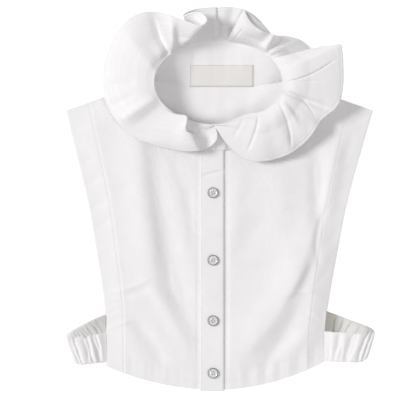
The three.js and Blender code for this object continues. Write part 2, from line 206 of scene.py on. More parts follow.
# %% Thread and the light table
FIBRE_STEP = 1.0


def twisted_thread(name, colour, roughness):
    """Thread with the uneven shade and surface of twisted fibres."""
    material, tree, shader = new_material(name, Roughness=roughness)
    place = add_node(tree, "ShaderNodeTexCoord").outputs["Object"]
    fibres = add_node(tree, "ShaderNodeTexNoise", Vector=place, Scale=1 / (FIBRE_STEP * MM), Detail=3.0)
    fibres = fibres.outputs["Fac"]
    tint = add_node(tree, "ShaderNodeMix", COLOUR_MIX, _0=fibres, _6=linear(colour), _7=linear("#EDEDEC"))
    tree.links.new(tint.outputs[2], shader.inputs["Base Color"])
    bump = add_node(tree, "ShaderNodeBump", Strength=0.2, Distance=0.1 * MM, Height=fibres)
    tree.links.new(bump.outputs["Normal"], shader.inputs["Normal"])
    return material


thread = twisted_thread("spun_cotton_thread", "#E2E1E1", 0.7)
edge_thread = twisted_thread("rayon_edge_thread", "#A8A5A0", 0.5)
acrylic, _, opal = new_material("opal_acrylic", Roughness=0.6, Specular_IOR_Level=0.1)
opal.inputs["Base Color"].default_value = linear("#F6F6F6")
opal.inputs["Emission Color"].default_value = (1, 1, 1, 1)
opal.inputs["Emission Strength"].default_value = 0.46
print("made", thread.name, edge_thread.name, "and", acrylic.name)

# %% [markdown]
# The light is soft and high: a bright white room, with a wide lamp towards the top left of the picture that
# gives the folds a lit side and a shaded side, and a weak one at the lower right that opens the shadows. The
# standard view transform keeps white cloth white.

# %% Light, floor and view
ROOM_STRENGTH = 0.405
LAMP_WATTS = 575.0
LAMP_SIZE = 3.0
LAMP_PLACE = (-6.8, 1.6, 6.8)
FILL_WATTS = 104.0
FILL_PLACE = (2.2, -1.6, 6.8)
TABLE_SIZE = 6
TABLE_DROP = 0.2

scene.view_settings.view_transform = "Standard"
world = bpy.data.worlds.new("white_room")
world.use_nodes = True
world.node_tree.nodes["Background"].inputs["Color"].default_value = (1, 1, 1, 1)
world.node_tree.nodes["Background"].inputs["Strength"].default_value = ROOM_STRENGTH
scene.world = world


def lamp(name, watts, place):
    """A round lamp that points at the middle of the garment."""
    data = bpy.data.lights.new(name, "AREA")
    data.energy = watts
    data.size = LAMP_SIZE
    data.shape = "DISK"
    obj = linked(name, data)
    obj.location = place
    obj.rotation_euler = (-obj.location).to_track_quat("-Z", "Y").to_euler()


lamp("soft_lamp", LAMP_WATTS, LAMP_PLACE)
lamp("fill_lamp", FILL_WATTS, FILL_PLACE)

bpy.ops.mesh.primitive_plane_add(size=TABLE_SIZE, location=(0, 0, -TABLE_DROP * MM))
floor = bpy.context.object
floor.name = "light_table"
floor.data.materials.append(acrylic)
print("lamps, watts:", LAMP_WATTS, FILL_WATTS)

# %% [markdown]
# Every piece of cloth is a grid of points over its outer face, with a second grid a cloth's thickness
# behind it, closed round the rim. The grid's own lengths become its UV map, so that the weave runs with the
# cloth and bends where it bends.

# %% Cloth from grids of points
CLOTH = 0.5


def lengths(grid, axis):
    """Distance along a grid's rows or columns, in metres."""
    step = np.linalg.norm(np.diff(grid, axis=axis), axis=2)
    first = np.zeros_like(step.take([0], axis=axis))
    return np.concatenate([first, np.cumsum(step, axis=axis)], axis=axis) * MM


def behind(grid, thick):
    """The same grid moved back by a thickness, along its own normals."""
    down, along = np.gradient(grid, axis=(0, 1))
    normal = np.cross(along, down)
    normal /= np.maximum(np.linalg.norm(normal, axis=2, keepdims=True), 1e-9)
    return grid - normal * thick


def on_part(name, mesh):
    """A piece made of this mesh, which rides on the part."""
    piece = linked(name, mesh)
    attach(piece, "root")
    print(name, "faces:", len(mesh.polygons))
    return piece


def cloth(name, front, back, material):
    """A closed sheet between two grids of points, rows by columns, as an object riding on the part."""
    rows, columns, _ = front.shape
    count = rows * columns
    ids = np.arange(count).reshape(rows, columns)
    a, b, c, d = ids[:-1, :-1], ids[:-1, 1:], ids[1:, 1:], ids[1:, :-1]
    quads = [np.stack([a, b, c, d], 2).reshape(-1, 4), np.stack([a, d, c, b], 2).reshape(-1, 4) + count]
    rim = np.concatenate([ids[0, :-1], ids[:-1, -1], ids[-1, :0:-1], ids[:0:-1, 0]])
    after = np.roll(rim, -1)
    quads.append(np.stack([after, rim, rim + count, after + count], 1))
    points = np.concatenate([front.reshape(-1, 3), back.reshape(-1, 3)]) * MM
    mesh = bpy.data.meshes.new(name)
    mesh.from_pydata(points.tolist(), [], np.concatenate(quads).tolist())
    across, up = lengths(front, 1).ravel(), lengths(front, 0).ravel()
    uv = np.tile(np.stack([across, up], 1), (2, 1))
    corner = np.empty(len(mesh.loops), int)
    mesh.loops.foreach_get("vertex_index", corner)
    mesh.uv_layers.new(name="cloth").data.foreach_set("uv", uv[corner].ravel())
    mesh.shade_smooth()
    mesh.set_sharp_from_angle(angle=math.radians(60))
    mesh.materials.append(material)
    return on_part(name, mesh)


# %% [markdown]
# The body's edges are the same as the solids': sides that flare from the waist to the shoulder tips, a hem
# in two shallow arcs, sloping shoulders, and a neck seam that is deep at the front and nearly straight
# across the back.

# %% Edges of the body
SIDES = table("y left right", [
    (-185, -125.6, 115.4),
    (-145, -126.2, 115.4),
    (-110, -128, 120.1),
    (-60, -135.5, 129),
    (0, -146, 141),
    (60, -160.5, 157.6),
    (98, -169.4, 168.6),
])
SHOULDER = {"y": 98, "neck_y": 131.5, "neck_left": -77, "neck_right": 73.7, "share": 0.46}
HEM = {"y": -209.2, "x": -5, "rise_left": 0.00178, "rise_right": 0.00215}
NECK = {"x": -2, "y": 131, "half": 75.5, "drop": 76.5, "dip": 7.5}
RING = {"x": -2, "y": 128, "half": 70, "high": 46, "front": 24, "side": 34, "back": 14}
RING_FLAT = {"u": 0.93, "wide": 0.045, "up": 6}
CENTRE = {"left": -20, "right": -18}

left_edge = through(SIDES, "y", "left")
right_edge = through(SIDES, "y", "right")


def hem_y(x):
    """The hem's place under any x: two shallow arcs that meet near the middle."""
    rise = np.where(x < HEM["x"], HEM["rise_left"], HEM["rise_right"])
    return HEM["y"] + rise * (x - HEM["x"]) ** 2


def shoulder_y(x):
    """The shoulder seam's place over any x."""
    tip = np.where(x < 0, SIDES[-1]["left"], SIDES[-1]["right"])
    neck = np.where(x < 0, SHOULDER["neck_left"], SHOULDER["neck_right"])
    return lerp(SHOULDER["y"], SHOULDER["neck_y"], np.clip((x - tip) / (neck - tip), 0, 1))


def neck_seam(u, inward=0.0):
    """The neck seam in plan; u runs from the centre front, clockwise, back to it."""
    s, c = np.sin(TURN * u), np.cos(TURN * u)
    x = NECK["x"] - NECK["half"] * s
    y = NECK["y"] - np.where(c > 0, NECK["drop"] * c, NECK["dip"] * c * c)
    away = np.hypot(x - NECK["x"], y - NECK["y"])
    share = 1 - inward / np.maximum(away, 1)
    return np.stack([NECK["x"] + (x - NECK["x"]) * share, NECK["y"] + (y - NECK["y"]) * share], -1)


def hump(u, row):
    """A smooth hump over u, 1 at the row's own u and almost 0 two widths away."""
    return np.exp(-(((u - row["u"]) / row["wide"]) ** 2))


def ring(u):
    """The ring where the stand ends and the ruffle begins."""
    s, c = np.sin(TURN * u), np.cos(TURN * u)
    end = np.where(c > 0, RING["front"], RING["back"])
    z = RING["side"] + (end - RING["side"]) * c * c
    flat = RING_FLAT["up"] * hump(u, RING_FLAT)
    return np.stack([RING["x"] - RING["half"] * s, RING["y"] - RING["high"] * c + flat, z], -1)


# %% [markdown]
# The fronts were put on the table by hand, so they keep soft folds. Each row below is one fold as it lies:
# its two ends, how far it bows between them, how wide it is on its left and right side, and its height, or
# its depth where the number is negative. A fold that is steep on one side gives the crisp edge that the
# photograph shows below the left of the collar.

# %% Folds of the front
FRONT_EDGE = 2.2
FRONT_LEAST = 2.0
LIFT, LEAST_LIFT = 3.3, 0.8
EASE = {"side": 34, "hem": 30, "shoulder": 30, "hem_share": 0.3, "steep_below": 10, "steep_over": 60}
FOLDS = table("x0 y0 x1 y1 bow left right high", [
    (-90, 72, -73, -82, 1, 20, 15, 5.2),
    (-77, 66, -34, -152, -6, 12, 16, -3.2),
    (-71, 60, -30, -80, 0, 10, 14, 0.8),
    (-50, 46, -33, -10, 0, 7, 8, -1),
    (-77, -94, -33, -166, 3, 9, 12, 3.0),
    (-97, -131, -60, -184, 3, 9, 7, -2.2),
    (64, 40, 78, -74, -2, 18, 16, 1.8),
    (85, -78, 25, -168, 6, 22, 12, 5.2),
    (107, 50, 106, -30, 2, 9, 8, -3.6),
    (131, 56, 121, -10, 0, 12, 9, 2.6),
    (114, -40, 98, -165, 0, 26, 20, 3.6),
    (112, -10, 81, -100, -2, 18, 9, 3.6),
    (101, -72, 78, -112, 1, 4, 7, -1.8),
    (92, -108, 42, -190, 5, 9, 14, -2.2),
])


def fold_height(x, y, rows):
    """The sum of all the folds' heights at points of the cloth."""
    total = np.zeros_like(x)
    for f in rows:
        dx, dy = f["x1"] - f["x0"], f["y1"] - f["y0"]
        long = math.hypot(dx, dy)
        t = ((x - f["x0"]) * dx + (y - f["y0"]) * dy) / long**2
        off = ((y - f["y0"]) * dx - (x - f["x0"]) * dy) / long - f["bow"] * 4 * t * (1 - t)
        wide = np.where(off < 0, f["left"], f["right"])
        ends = smooth((t + 0.25) / 0.5) * smooth((1.25 - t) / 0.5)
        total += f["high"] * ends * np.exp(-((off / wide) ** 2))
    return total


# %% [markdown]
# Small creases come on top of the folds, and only the dressed cloth has them: the pinch at the left waist,
# short pulls along the armhole bands, and the puckers that a machine-stitched hem gets when its thread is
# tight. The hem is a second layer, turned up, so the cloth stands a little higher over it.

# %% Small creases
CREASES = table("x0 y0 x1 y1 bow left right high", [
    (-121, -103, -79, -88, -1.5, 2.8, 2.8, 0.9),
    (-106, -106, -78, -97, -1, 3.8, 3.8, -0.8),
    (-124, -142, -98, -133, 0, 2, 2, 0.9),
    (-124, -111, -110, -109, 0, 2, 2, 0.8),
    (-124, -120, -111, -117, 0, 2, 2, 0.7),
    (-124, -130, -112, -126, 0, 2, 2, 0.7),
    (-150, 40, -140, 48, 0, 5, 6, -0.9),
    (-148, 14, -133, 24, 0, 4, 6, -1.0),
    (-142, -10, -126, -2, 0, 4, 5, -1.1),
    (-139, -32, -122, -24, 0, 4, 5, -1.1),
    (-133, -66, -118, -60, 0, 4, 6, -0.7),
    (146, 70, 136, 40, 0, 6, 5, -0.9),
    (130, -2, 116, -16, 0, 6, 6, 0.5),
    (132, -30, 119, -50, 0, 7, 7, -0.8),
    (126, -56, 112, -66, 0, 5, 5, 0.4),
    (120, -74, 108, -92, 0, 5, 5, -0.7),
    (116, -12, 107, -66, -5, 3, 3.5, -1.5),
    (96, -100, 116, -112, 0, 3, 3, 0.8),
    (90, -122, 108, -134, 0, 3, 3, -0.8),
    (92, -148, 62, -178, 0, 7, 8, 1.4),
    (47, -16, 22, -62, 0, 10, 12, -1.1),
    (8, -74, 42, -74, 0, 1.6, 1.6, -0.35),
    (20, 24, 14, -40, 2, 7, 9, 0.9),
    (-34, 20, -30, -50, 0, 6, 7, -0.8),
    (74, -104, 104, -101, 0, 1.6, 2.6, 0.7),
    (7.5, 52, 7.5, -206, 0, 3, 2.2, -1.1),
    (-24.5, 52, -24.5, -206, 0, 1.4, 1.2, -0.5),
])
HEM_PUCKERS = table("x high", [
    (23, 0.7), (32, -0.6), (41, 0.8), (50, -0.9), (58, 0.7), (66, -0.8), (76, 0.9), (86, -0.7),
    (95, 0.8), (104, -0.8), (-60, 0.5), (-72, -0.5), (-84, 0.5), (-97, -0.5), (-44, -0.4), (-31, 0.4),
])
PUCKER = {"half": 3.2, "middle": 11.25, "reach": 19.5}
HEM_DEEP = 15.0
HEM_LAYER = {"high": 0.35, "above": 0.6, "over": 1.2}
CREASE_FADE = {"side": 7, "side_start": 0.25, "shoulder": 8, "shoulder_start": 0.2, "least": 0.45}


def hem_puckers(x, y):
    """Heights of the puckers, strongest at three quarters of the hem's depth."""
    near = smooth(1 - np.abs(y - hem_y(x) - PUCKER["middle"]) / PUCKER["reach"])
    return near * sum(p["high"] * np.exp(-(((x - p["x"]) / PUCKER["half"]) ** 2)) for p in HEM_PUCKERS)


def front_top(x, y):
    """Height of the fronts' outer face over the floor, in millimetres."""
    from_side = np.minimum(x - left_edge(y), right_edge(y) - x)
    inside = np.clip(from_side / EASE["side"], 0, 1)
    steep = smooth((EASE["steep_below"] - y) / EASE["steep_over"]) * (x > 0)
    side = lerp(smooth(inside), inside * (2 - inside), steep)
    over_hem = y - hem_y(x)
    hem = lerp(EASE["hem_share"], 1, smooth(over_hem / EASE["hem"]))
    shoulder = smooth((shoulder_y(x) - y) / EASE["shoulder"])
    lift = np.maximum(LIFT + fold_height(x, y, FOLDS), LEAST_LIFT)
    turned_up = HEM_LAYER["high"] * smooth((HEM_DEEP + HEM_LAYER["above"] - over_hem) / HEM_LAYER["over"])
    fine = fold_height(x, y, CREASES) + hem_puckers(x, y) + turned_up
    fade = smooth(from_side / CREASE_FADE["side"] + CREASE_FADE["side_start"])
    fade = fade * smooth((shoulder_y(x) - y) / CREASE_FADE["shoulder"] + CREASE_FADE["shoulder_start"])
    fade = fade * lerp(CREASE_FADE["least"], 1, side * hem)
    return np.maximum(FRONT_EDGE + side * hem * shoulder * lift + fine * fade, FRONT_LEAST)


# %% [markdown]
# A front is bounded by four curves: hem, centre edge, armhole edge, and the shoulder running on into the
# neck. Blending the four over the inside, as a Coons patch does, gives a grid whose rows follow the hem at
# the bottom and the neck at the top, much as the cloth's own threads do. Where the armhole band is stitched
# down, the front's cloth stands up a little beside the seam.

# %% The two fronts
FRONT_ROWS, FRONT_COLUMNS = 220, 110
BANDS = {"left": {"waist": 20, "shoulder": 25}, "right": {"waist": 17, "shoulder": 26}}
SEAM_RIDGE = {"high": 0.6, "rise": 1.0, "fall": 4.5}
INSET = 1.1


def patch(bottom, top, outside, inside, v, u):
    """A grid in plan between four curves that meet at their ends."""
    b, t, o, i = bottom(u)[None], top(u)[None], outside(v)[:, None], inside(v)[:, None]
    vv, uu = v[:, None, None], u[None, :, None]
    ends = np.array([0.0, 1.0])
    low, high = bottom(ends), top(ends)
    corners = lerp(lerp(low[0], low[1], uu), lerp(high[0], high[1], uu), vv)
    return lerp(b, t, vv) + lerp(o, i, uu) - corners


def pair(x, y):
    """Plan points from x and y, either of which may be one number."""
    return np.stack(np.broadcast_arrays(x, y), -1).astype(float)


def raised(plan, z):
    """Points in plan with their heights."""
    return np.concatenate([plan, z[..., None]], -1)


def hem_curve(x0, x1):
    """The hem between two places, as a curve in plan."""

    def at(u):
        x = lerp(x0, x1, u)
        return pair(x, hem_y(x))

    return at


def side_curve(side):
    """One armhole edge from hem to shoulder, as a curve in plan."""
    edge = left_edge if side == "left" else right_edge

    def at(v):
        y = lerp(hem_y(np.array(float(SIDES[0][side]))), SHOULDER["y"], v)
        return pair(edge(y), y)

    return at


def seam_share(x):
    """How far round the neck seam a given x on the front lies."""
    quarter = math.asin(min(1, abs(x - NECK["x"]) / NECK["half"])) / TURN
    return quarter if x < NECK["x"] else 1 - quarter


def front_plan(side, v, u):
    """One front in plan, from its armhole edge (u 0) to its centre edge (u 1), hem to neck."""
    is_left = side == "left"
    centre, tip = CENTRE[side], SIDES[-1][side]
    neck_u = 0.25 if is_left else 0.75
    centre_u = seam_share(centre) + (0 if is_left else 1)
    neck = neck_seam(np.array(neck_u), INSET)
    top_y = neck_seam(np.array(centre_u), INSET)[1]

    def top(u):
        along = np.clip(u / SHOULDER["share"], 0, 1)
        shoulder = pair(lerp(tip, neck[0], along), lerp(SHOULDER["y"], neck[1], along))
        round_neck = np.clip((u - SHOULDER["share"]) / (1 - SHOULDER["share"]), 0, 1)
        curve = neck_seam(lerp(neck_u, centre_u, round_neck), INSET)
        return np.where((u <= SHOULDER["share"])[:, None], shoulder, curve)

    def inside(v):
        return pair(centre, lerp(hem_y(np.array(float(centre))), top_y, v))

    return patch(hem_curve(SIDES[0][side], centre), top, side_curve(side), inside, v, u)


def laid(plan, above=0.0):
    """Points of a plan laid on the fronts, some way above them."""
    return raised(plan, front_top(plan[..., 0], plan[..., 1]) + above)


def area_of(grid):
    """Area of a grid of points, in square metres."""
    a, b = grid[1:, 1:] - grid[:-1, :-1], grid[1:, :-1] - grid[:-1, 1:]
    return float(np.linalg.norm(np.cross(a, b), axis=2).sum() / 2) * MM * MM


def band_share(side, v):
    """How much of a front's width its armhole band takes, from hem to shoulder."""
    waist_share = BANDS[side]["waist"] / abs(SIDES[0][side] - CENTRE[side])
    shoulder_wide = abs(SIDES[-1][side] - SHOULDER[f"neck_{side}"])
    return lerp(waist_share, SHOULDER["share"] * BANDS[side]["shoulder"] / shoulder_wide, v)


def seam_ridge(side, plan, v, u):
    """How a front's cloth stands up beside the seam that holds its band down."""
    wide = np.linalg.norm(plan[:, -1] - plan[:, 0], axis=1)[:, None]
    off = (u[None] - band_share(side, v)[:, None]) * wide
    fall = np.exp(-((np.maximum(off, 0) / SEAM_RIDGE["fall"]) ** 2))
    return SEAM_RIDGE["high"] * smooth(off / SEAM_RIDGE["rise"]) * fall


def layer(node, side, outer, material):
    """One layer of a front, from its outer face; the right side's grid is turned to face up."""
    outer = outer if side == "left" else outer[:, ::-1]
    piece = cloth(f"{node}_cloth", outer, behind(outer, CLOTH), material)
    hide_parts(node)
    return piece, outer


fronts = {}
for side in ("left", "right"):
    v, u = np.linspace(0, 1, FRONT_ROWS), np.linspace(0, 1, FRONT_COLUMNS)
    plan = front_plan(side, v, u)
    outer = laid(plan)
    outer[..., 2] += seam_ridge(side, plan, v, u)
    fronts[side] = layer(f"front_{side}", side, outer, poplin)

# %% [markdown]
# The armhole bands are facings turned to the outside and stitched down. Each lies on its front between the
# armhole edge and the seam, so it takes a grid over that strip, a little higher, and rounded at both edges.

# %% Armhole bands
BAND_UP = {"left": 0.3, "right": 0.15}
BAND_ROUND = {"left": 1.2, "right": 1.85, "inner": 0.3}
BAND_ROWS, BAND_COLUMNS = 260, 26


def fold_over(distance, radius):
    """How far a turned-in edge drops near its fold: a quarter round of the given radius."""
    inside = np.clip(1 - distance / radius, 0, 1)
    return radius * (1 - np.sqrt(1 - inside**2))


def band_plan(side, v, u):
    """One band in plan: the strip of its front between the armhole edge and the seam."""
    shares = band_share(side, v)
    return np.stack([front_plan(side, v, u * share)[number] for number, share in enumerate(shares)])


bands = {}
for side in ("left", "right"):
    v, u = np.linspace(0, 1, BAND_ROWS), np.linspace(0, 1, BAND_COLUMNS)
    plan = band_plan(side, v, u)
    wide = np.linalg.norm(plan - plan[:, :1], axis=2)
    outer = laid(plan, BAND_UP[side])
    outer[..., 2] -= fold_over(wide, BAND_ROUND[side]) + fold_over(wide[:, -1:] - wide, BAND_ROUND["inner"])
    bands[side] = layer(f"armhole_band_{side}", side, outer, pressed_poplin)

# %% [markdown]
# The placket is the strip down the centre front that the buttonholes are cut in. It belongs to the left
# front and laps over the right one, so its free edge throws a thin shadow. One crease crosses it below the
# collar, where the cloth was bent.

# %% Placket
PLACKET = {"left": -22.5, "right": 4.4, "middle": -7.7, "drop": 1.3, "up": 1.75, "fold": 0.8}
PLACKET_ROWS, PLACKET_COLUMNS = 330, 28
PLACKET_TOP = 2.4
PLACKET_CREASES = table("x0 y0 x1 y1 bow left right high", [
    (-19, 26, 4, 31, 0.5, 2.2, 1.5, -1.2),
    (-14, 52, 4, 50, 0, 2.5, 2.5, 0.5),
    (-20, -34, 0, -37, 0, 9, 9, 0.5),
    (-20, -101, 2, -98, 0, 10, 10, 0.5),
    (-20, -163, 2, -160, 0, 8, 8, 0.4),
])


def placket_top(x, y):
    """Height of the placket's outer face, which follows the fronts below it."""
    return front_top(x, y) + PLACKET["up"] + fold_height(x, y, PLACKET_CREASES)


across = np.linspace(PLACKET["left"], PLACKET["right"], PLACKET_COLUMNS)
seam_y = np.array([neck_seam(np.array(seam_share(x)), PLACKET_TOP)[1] for x in across])
foot = hem_y(np.array(float(PLACKET["middle"]))) - PLACKET["drop"]
placket_y = lerp(foot, seam_y[None], np.linspace(0, 1, PLACKET_ROWS)[:, None])
plan = pair(across[None], placket_y)
placket_grid = raised(plan, placket_top(plan[..., 0], plan[..., 1]))
edge_off = np.minimum(plan[..., 0] - PLACKET["left"], PLACKET["right"] - plan[..., 0])
hem_off = plan[..., 1] - foot
placket_grid[..., 2] -= fold_over(np.minimum(edge_off, hem_off), PLACKET["fold"])
placket = cloth("placket_cloth", placket_grid, behind(placket_grid, CLOTH), pressed_poplin)
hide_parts("placket")

# %% [markdown]
# The back is one panel that lies on the table. Only the part inside the neck shows, with a soft pressed
# crease down its middle and a few rumples beside it. Its underside is flat.

# %% Back
BACK_ROWS, BACK_COLUMNS = 150, 120
BACK_TOP = 0.9
BACK_SHOULDER = 0.27
BACK_CREASES = table("x0 y0 x1 y1 bow left right high", [
    (-4, 128, -2, 60, 0, 2.5, 5, 0.5),
    (16, 118, 12, 66, 1, 6, 8, 0.7),
    (-22, 112, -34, 76, 0, 6, 7, 0.6),
    (40, 116, 32, 80, 0, 6, 7, 0.6),
])


def back_head(u):
    """The back's upper edge: left shoulder, back of the neck, right shoulder."""
    tips = [pair(SIDES[-1][side], SHOULDER["y"]) for side in ("left", "right")]
    part = BACK_SHOULDER
    seam = neck_seam(lerp(0.25, 0.75, np.clip((u - part) / (1 - 2 * part), 0, 1)))
    to_left = lerp(tips[0], neck_seam(np.array(0.25)), np.clip(u / part, 0, 1)[:, None])
    to_right = lerp(tips[1], neck_seam(np.array(0.75)), np.clip((1 - u) / part, 0, 1)[:, None])
    return np.where((u < part)[:, None], to_left, np.where((u > 1 - part)[:, None], to_right, seam))


v, u = np.linspace(0, 1, BACK_ROWS), np.linspace(0, 1, BACK_COLUMNS)
back_hem = hem_curve(SIDES[0]["left"], SIDES[0]["right"])
plan = patch(back_hem, back_head, side_curve("left"), side_curve("right"), v, u)
rumple = np.maximum(fold_height(plan[..., 0], plan[..., 1], BACK_CREASES), 0)
back_grid = raised(plan, BACK_TOP + rumple)
back = cloth("back_cloth", back_grid, raised(plan, np.zeros_like(rumple)), poplin)
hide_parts("back_panel")

# %% [markdown]
# The stand is the band that holds the ruffle off the neck. At the back it leans away from the neck seam and
# shows its inner face. At the front it leans in over the opening. It is a ruled surface between the neck
# seam and the ring above it, with the slight waves of a band that nothing holds straight.

# %% Stand
OPENING = (0.007, 1.0105)
STAND_ROWS, STAND_COLUMNS = 26, 420
STAND_CLOTH = 0.7
SEAT = {"back": 1.7, "front": 1.0, "placket": 0.2, "turn": 0.22, "turn_over": 0.24, "lap": 5, "lap_over": 4}
END_LIFT = {"until": 0.03, "over": 0.014, "high": 1.1}
STAND_WAVES = table("u wide high", [
    (0.44, 0.012, -0.9), (0.475, 0.01, 0.5), (0.515, 0.012, -0.6), (0.56, 0.014, 0.8),
    (0.595, 0.01, -0.8), (0.4, 0.016, 0.8), (0.35, 0.02, -0.9), (0.64, 0.016, 0.7),
])


def stand_point(v, u):
    """A point of the stand's outer face: v 0 on the neck seam, 1 on the ring."""
    low = neck_seam(u)
    x, y = low[..., 0], low[..., 1]
    on_front = smooth((np.cos(TURN * u) + SEAT["turn"]) / SEAT["turn_over"])
    lap = smooth((x - PLACKET["left"] + SEAT["lap"]) / SEAT["lap_over"])
    lap = lap * smooth((PLACKET["right"] + SEAT["lap"] - x) / SEAT["lap_over"])
    front_seat = front_top(x, y) + SEAT["front"] + (PLACKET["up"] + SEAT["placket"]) * lap
    seat = lerp(np.full_like(x, SEAT["back"]), front_seat, on_front)
    base = np.stack([x, y, seat], -1)
    point = base + (ring(u) - base) * v[..., None]
    wave = sum(w["high"] * hump(u, w) for w in STAND_WAVES)
    end = END_LIFT["high"] * smooth((END_LIFT["until"] - u) / END_LIFT["over"])
    point[..., 2] += wave * 4 * v * (1 - v) + end
    return point


vv, uu = np.meshgrid(np.linspace(0, 1, STAND_ROWS), np.linspace(*OPENING, STAND_COLUMNS), indexing="ij")
stand_grid = stand_point(vv, uu)
stand = cloth("stand_cloth", stand_grid, behind(stand_grid, STAND_CLOTH), pressed_poplin)
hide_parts("stand")

# %% [markdown]
# The ruffle is a ring-cut flounce: its inner edge is sewn to the stand and its longer outer edge has nowhere
# to go but up and down, so it stands in flutes. Each row below is one rib from the ring to the hem: where
# on the ring it starts, where its hem lies, how high, and how far the cloth arches between. Ribs that share
# nearly one place on the ring while their hems double back make the pleat at the back right.

# %% Ribs of the ruffle
RIBS = table("u x y z arch", [
    (0.0115, -6.4, 79.6, 24.6, 0),
    (0.028, -3.6, 72.6, 26, -3),
    (0.042, -4.2, 65.4, 23, -5),
    (0.055, -9.6, 59.6, 18, -6),
    (0.067, -15.2, 56.8, 17, -4),
    (0.076, -18.6, 55.3, 19, -3),
    (0.083, -20.8, 54.6, 23, 4),
    (0.09, -25.4, 53.8, 25, 8),
    (0.102, -36.1, 53.4, 22, 9),
    (0.118, -51.7, 55.8, 18, 6),
    (0.136, -72.6, 61, 17, 3),
    (0.152, -89.1, 66.6, 15, 2),
    (0.166, -101.2, 74.2, 15, 3),
    (0.18, -107.8, 80.3, 16, 6),
    (0.194, -112.8, 86.4, 17, 8),
    (0.212, -119.9, 97.4, 17, 7),
    (0.23, -125.4, 110, 18, 6),
    (0.246, -127.6, 123.8, 19, 5),
    (0.262, -127.8, 137, 19, 5),
    (0.276, -126, 151.3, 20, 5),
    (0.286, -121.6, 164.5, 22, 5),
    (0.294, -114.4, 178.8, 26, 6),
    (0.301, -104.5, 192, 31, 3),
    (0.311, -94.6, 199.7, 34, 1),
    (0.325, -83.6, 204, 36, -2),
    (0.343, -72.6, 204.6, 38, -7),
    (0.361, -62.7, 203, 44, -1),
    (0.374, -52.8, 199.7, 50, 5),
    (0.385, -42.9, 195.8, 53, 1),
    (0.394, -33, 191.4, 57, 1),
    (0.402, -24.2, 188.7, 60, 3),
    (0.408, -17.6, 189.8, 60, 4),
    (0.413, -14.6, 194.4, 57, 2),
    (0.418, -17.3, 199.7, 52, -2),
    (0.424, -24.2, 203.4, 46, -5),
    (0.43, -33, 202.6, 40, -7),
    (0.437, -40.2, 199.7, 35, -7),
    (0.446, -38, 203.2, 33, -6),
    (0.458, -26.4, 208, 31, -4),
    (0.474, -14.3, 209.3, 32, -2),
    (0.49, -5, 209.7, 33, 0),
    (0.498, -2.8, 209.5, 32, -1.5),
    (0.507, 5.5, 209.9, 34, 0),
    (0.518, 15.4, 209.4, 34, -2),
    (0.523, 24.3, 207.5, 39, -2),
    (0.5285, 34.2, 203, 40, 0),
    (0.533, 42.3, 196.5, 40, 1),
    (0.536, 49.6, 188, 40, 2),
    (0.5365, 54.3, 181.7, 39, 2),
    (0.532, 40.8, 193.1, 40, 3),
    (0.526, 28.7, 204.1, 40, 2),
    (0.522, 26.3, 205.9, 43, 5),
    (0.53, 30.2, 196.8, 44.5, 7),
    (0.55, 36.8, 188.7, 44.5, 6),
    (0.58, 45.7, 183.3, 44, 2),
    (0.604, 53.6, 180.6, 39, 1),
    (0.622, 59.5, 178.6, 38, 3.5),
    (0.634, 63.3, 178.5, 24, 2),
    (0.638, 68.8, 178.7, 14, 4),
    (0.641, 77, 178.1, 9, 8),
    (0.643, 86.4, 175.8, 7, 7),
    (0.645, 93.5, 171.1, 6, 4),
    (0.648, 98.8, 165.1, 8, 2),
    (0.653, 94.7, 160.1, 15, 1),
    (0.66, 107.9, 166.4, 28, 4),
    (0.69, 118.8, 167.6, 33, 4),
    (0.712, 130.3, 169, 40, 4),
    (0.728, 132.7, 163.2, 41, 3),
    (0.748, 134.2, 139.2, 36, 3),
    (0.757, 133.9, 126, 34, 3),
    (0.766, 132.3, 113.9, 32, 3),
    (0.775, 128.7, 104.5, 31, 1),
    (0.783, 123.2, 97.8, 27, -2),
    (0.791, 115.5, 91.9, 28, 1),
    (0.799, 109.5, 86.4, 24, 3),
    (0.808, 104.3, 77.8, 27, 1),
    (0.82, 97.4, 68.2, 24, 4),
    (0.832, 87.8, 58.9, 20, 4),
    (0.847, 76.8, 51.2, 21, 5),
    (0.866, 62.7, 45.7, 18, 6),
    (0.884, 49.3, 42.8, 19, 6),
    (0.899, 35.2, 43.1, 18, 6),
    (0.915, 22, 49, 18, 5),
    (0.934, 11, 57.8, 20, 4),
    (0.957, 2.8, 67.7, 23, 2),
    (0.984, -3.3, 77, 25, 1),
    (1.0105, -6.3, 79.4, 25.5, 0),
])
for number, row in enumerate(RIBS):
    row["rib"] = number
print("ribs:", len(RIBS))

# %% [markdown]
# Pressed pleats run out from the ring on the right side, where the flounce was sewn down fullest. Each row
# gives the rib that the pleat starts on and the one that it points to, how much of the way it runs, and its
# half width and depth. On the left, the flounce curls in over the neck before it falls outwards. At the back
# right the edge of the doubled pleat is turned down, and the hem of the right lobe drops at its very rim.
# The columns are spaced partly by the hem's length, so the wide lobe has enough of them for a crisp crease.

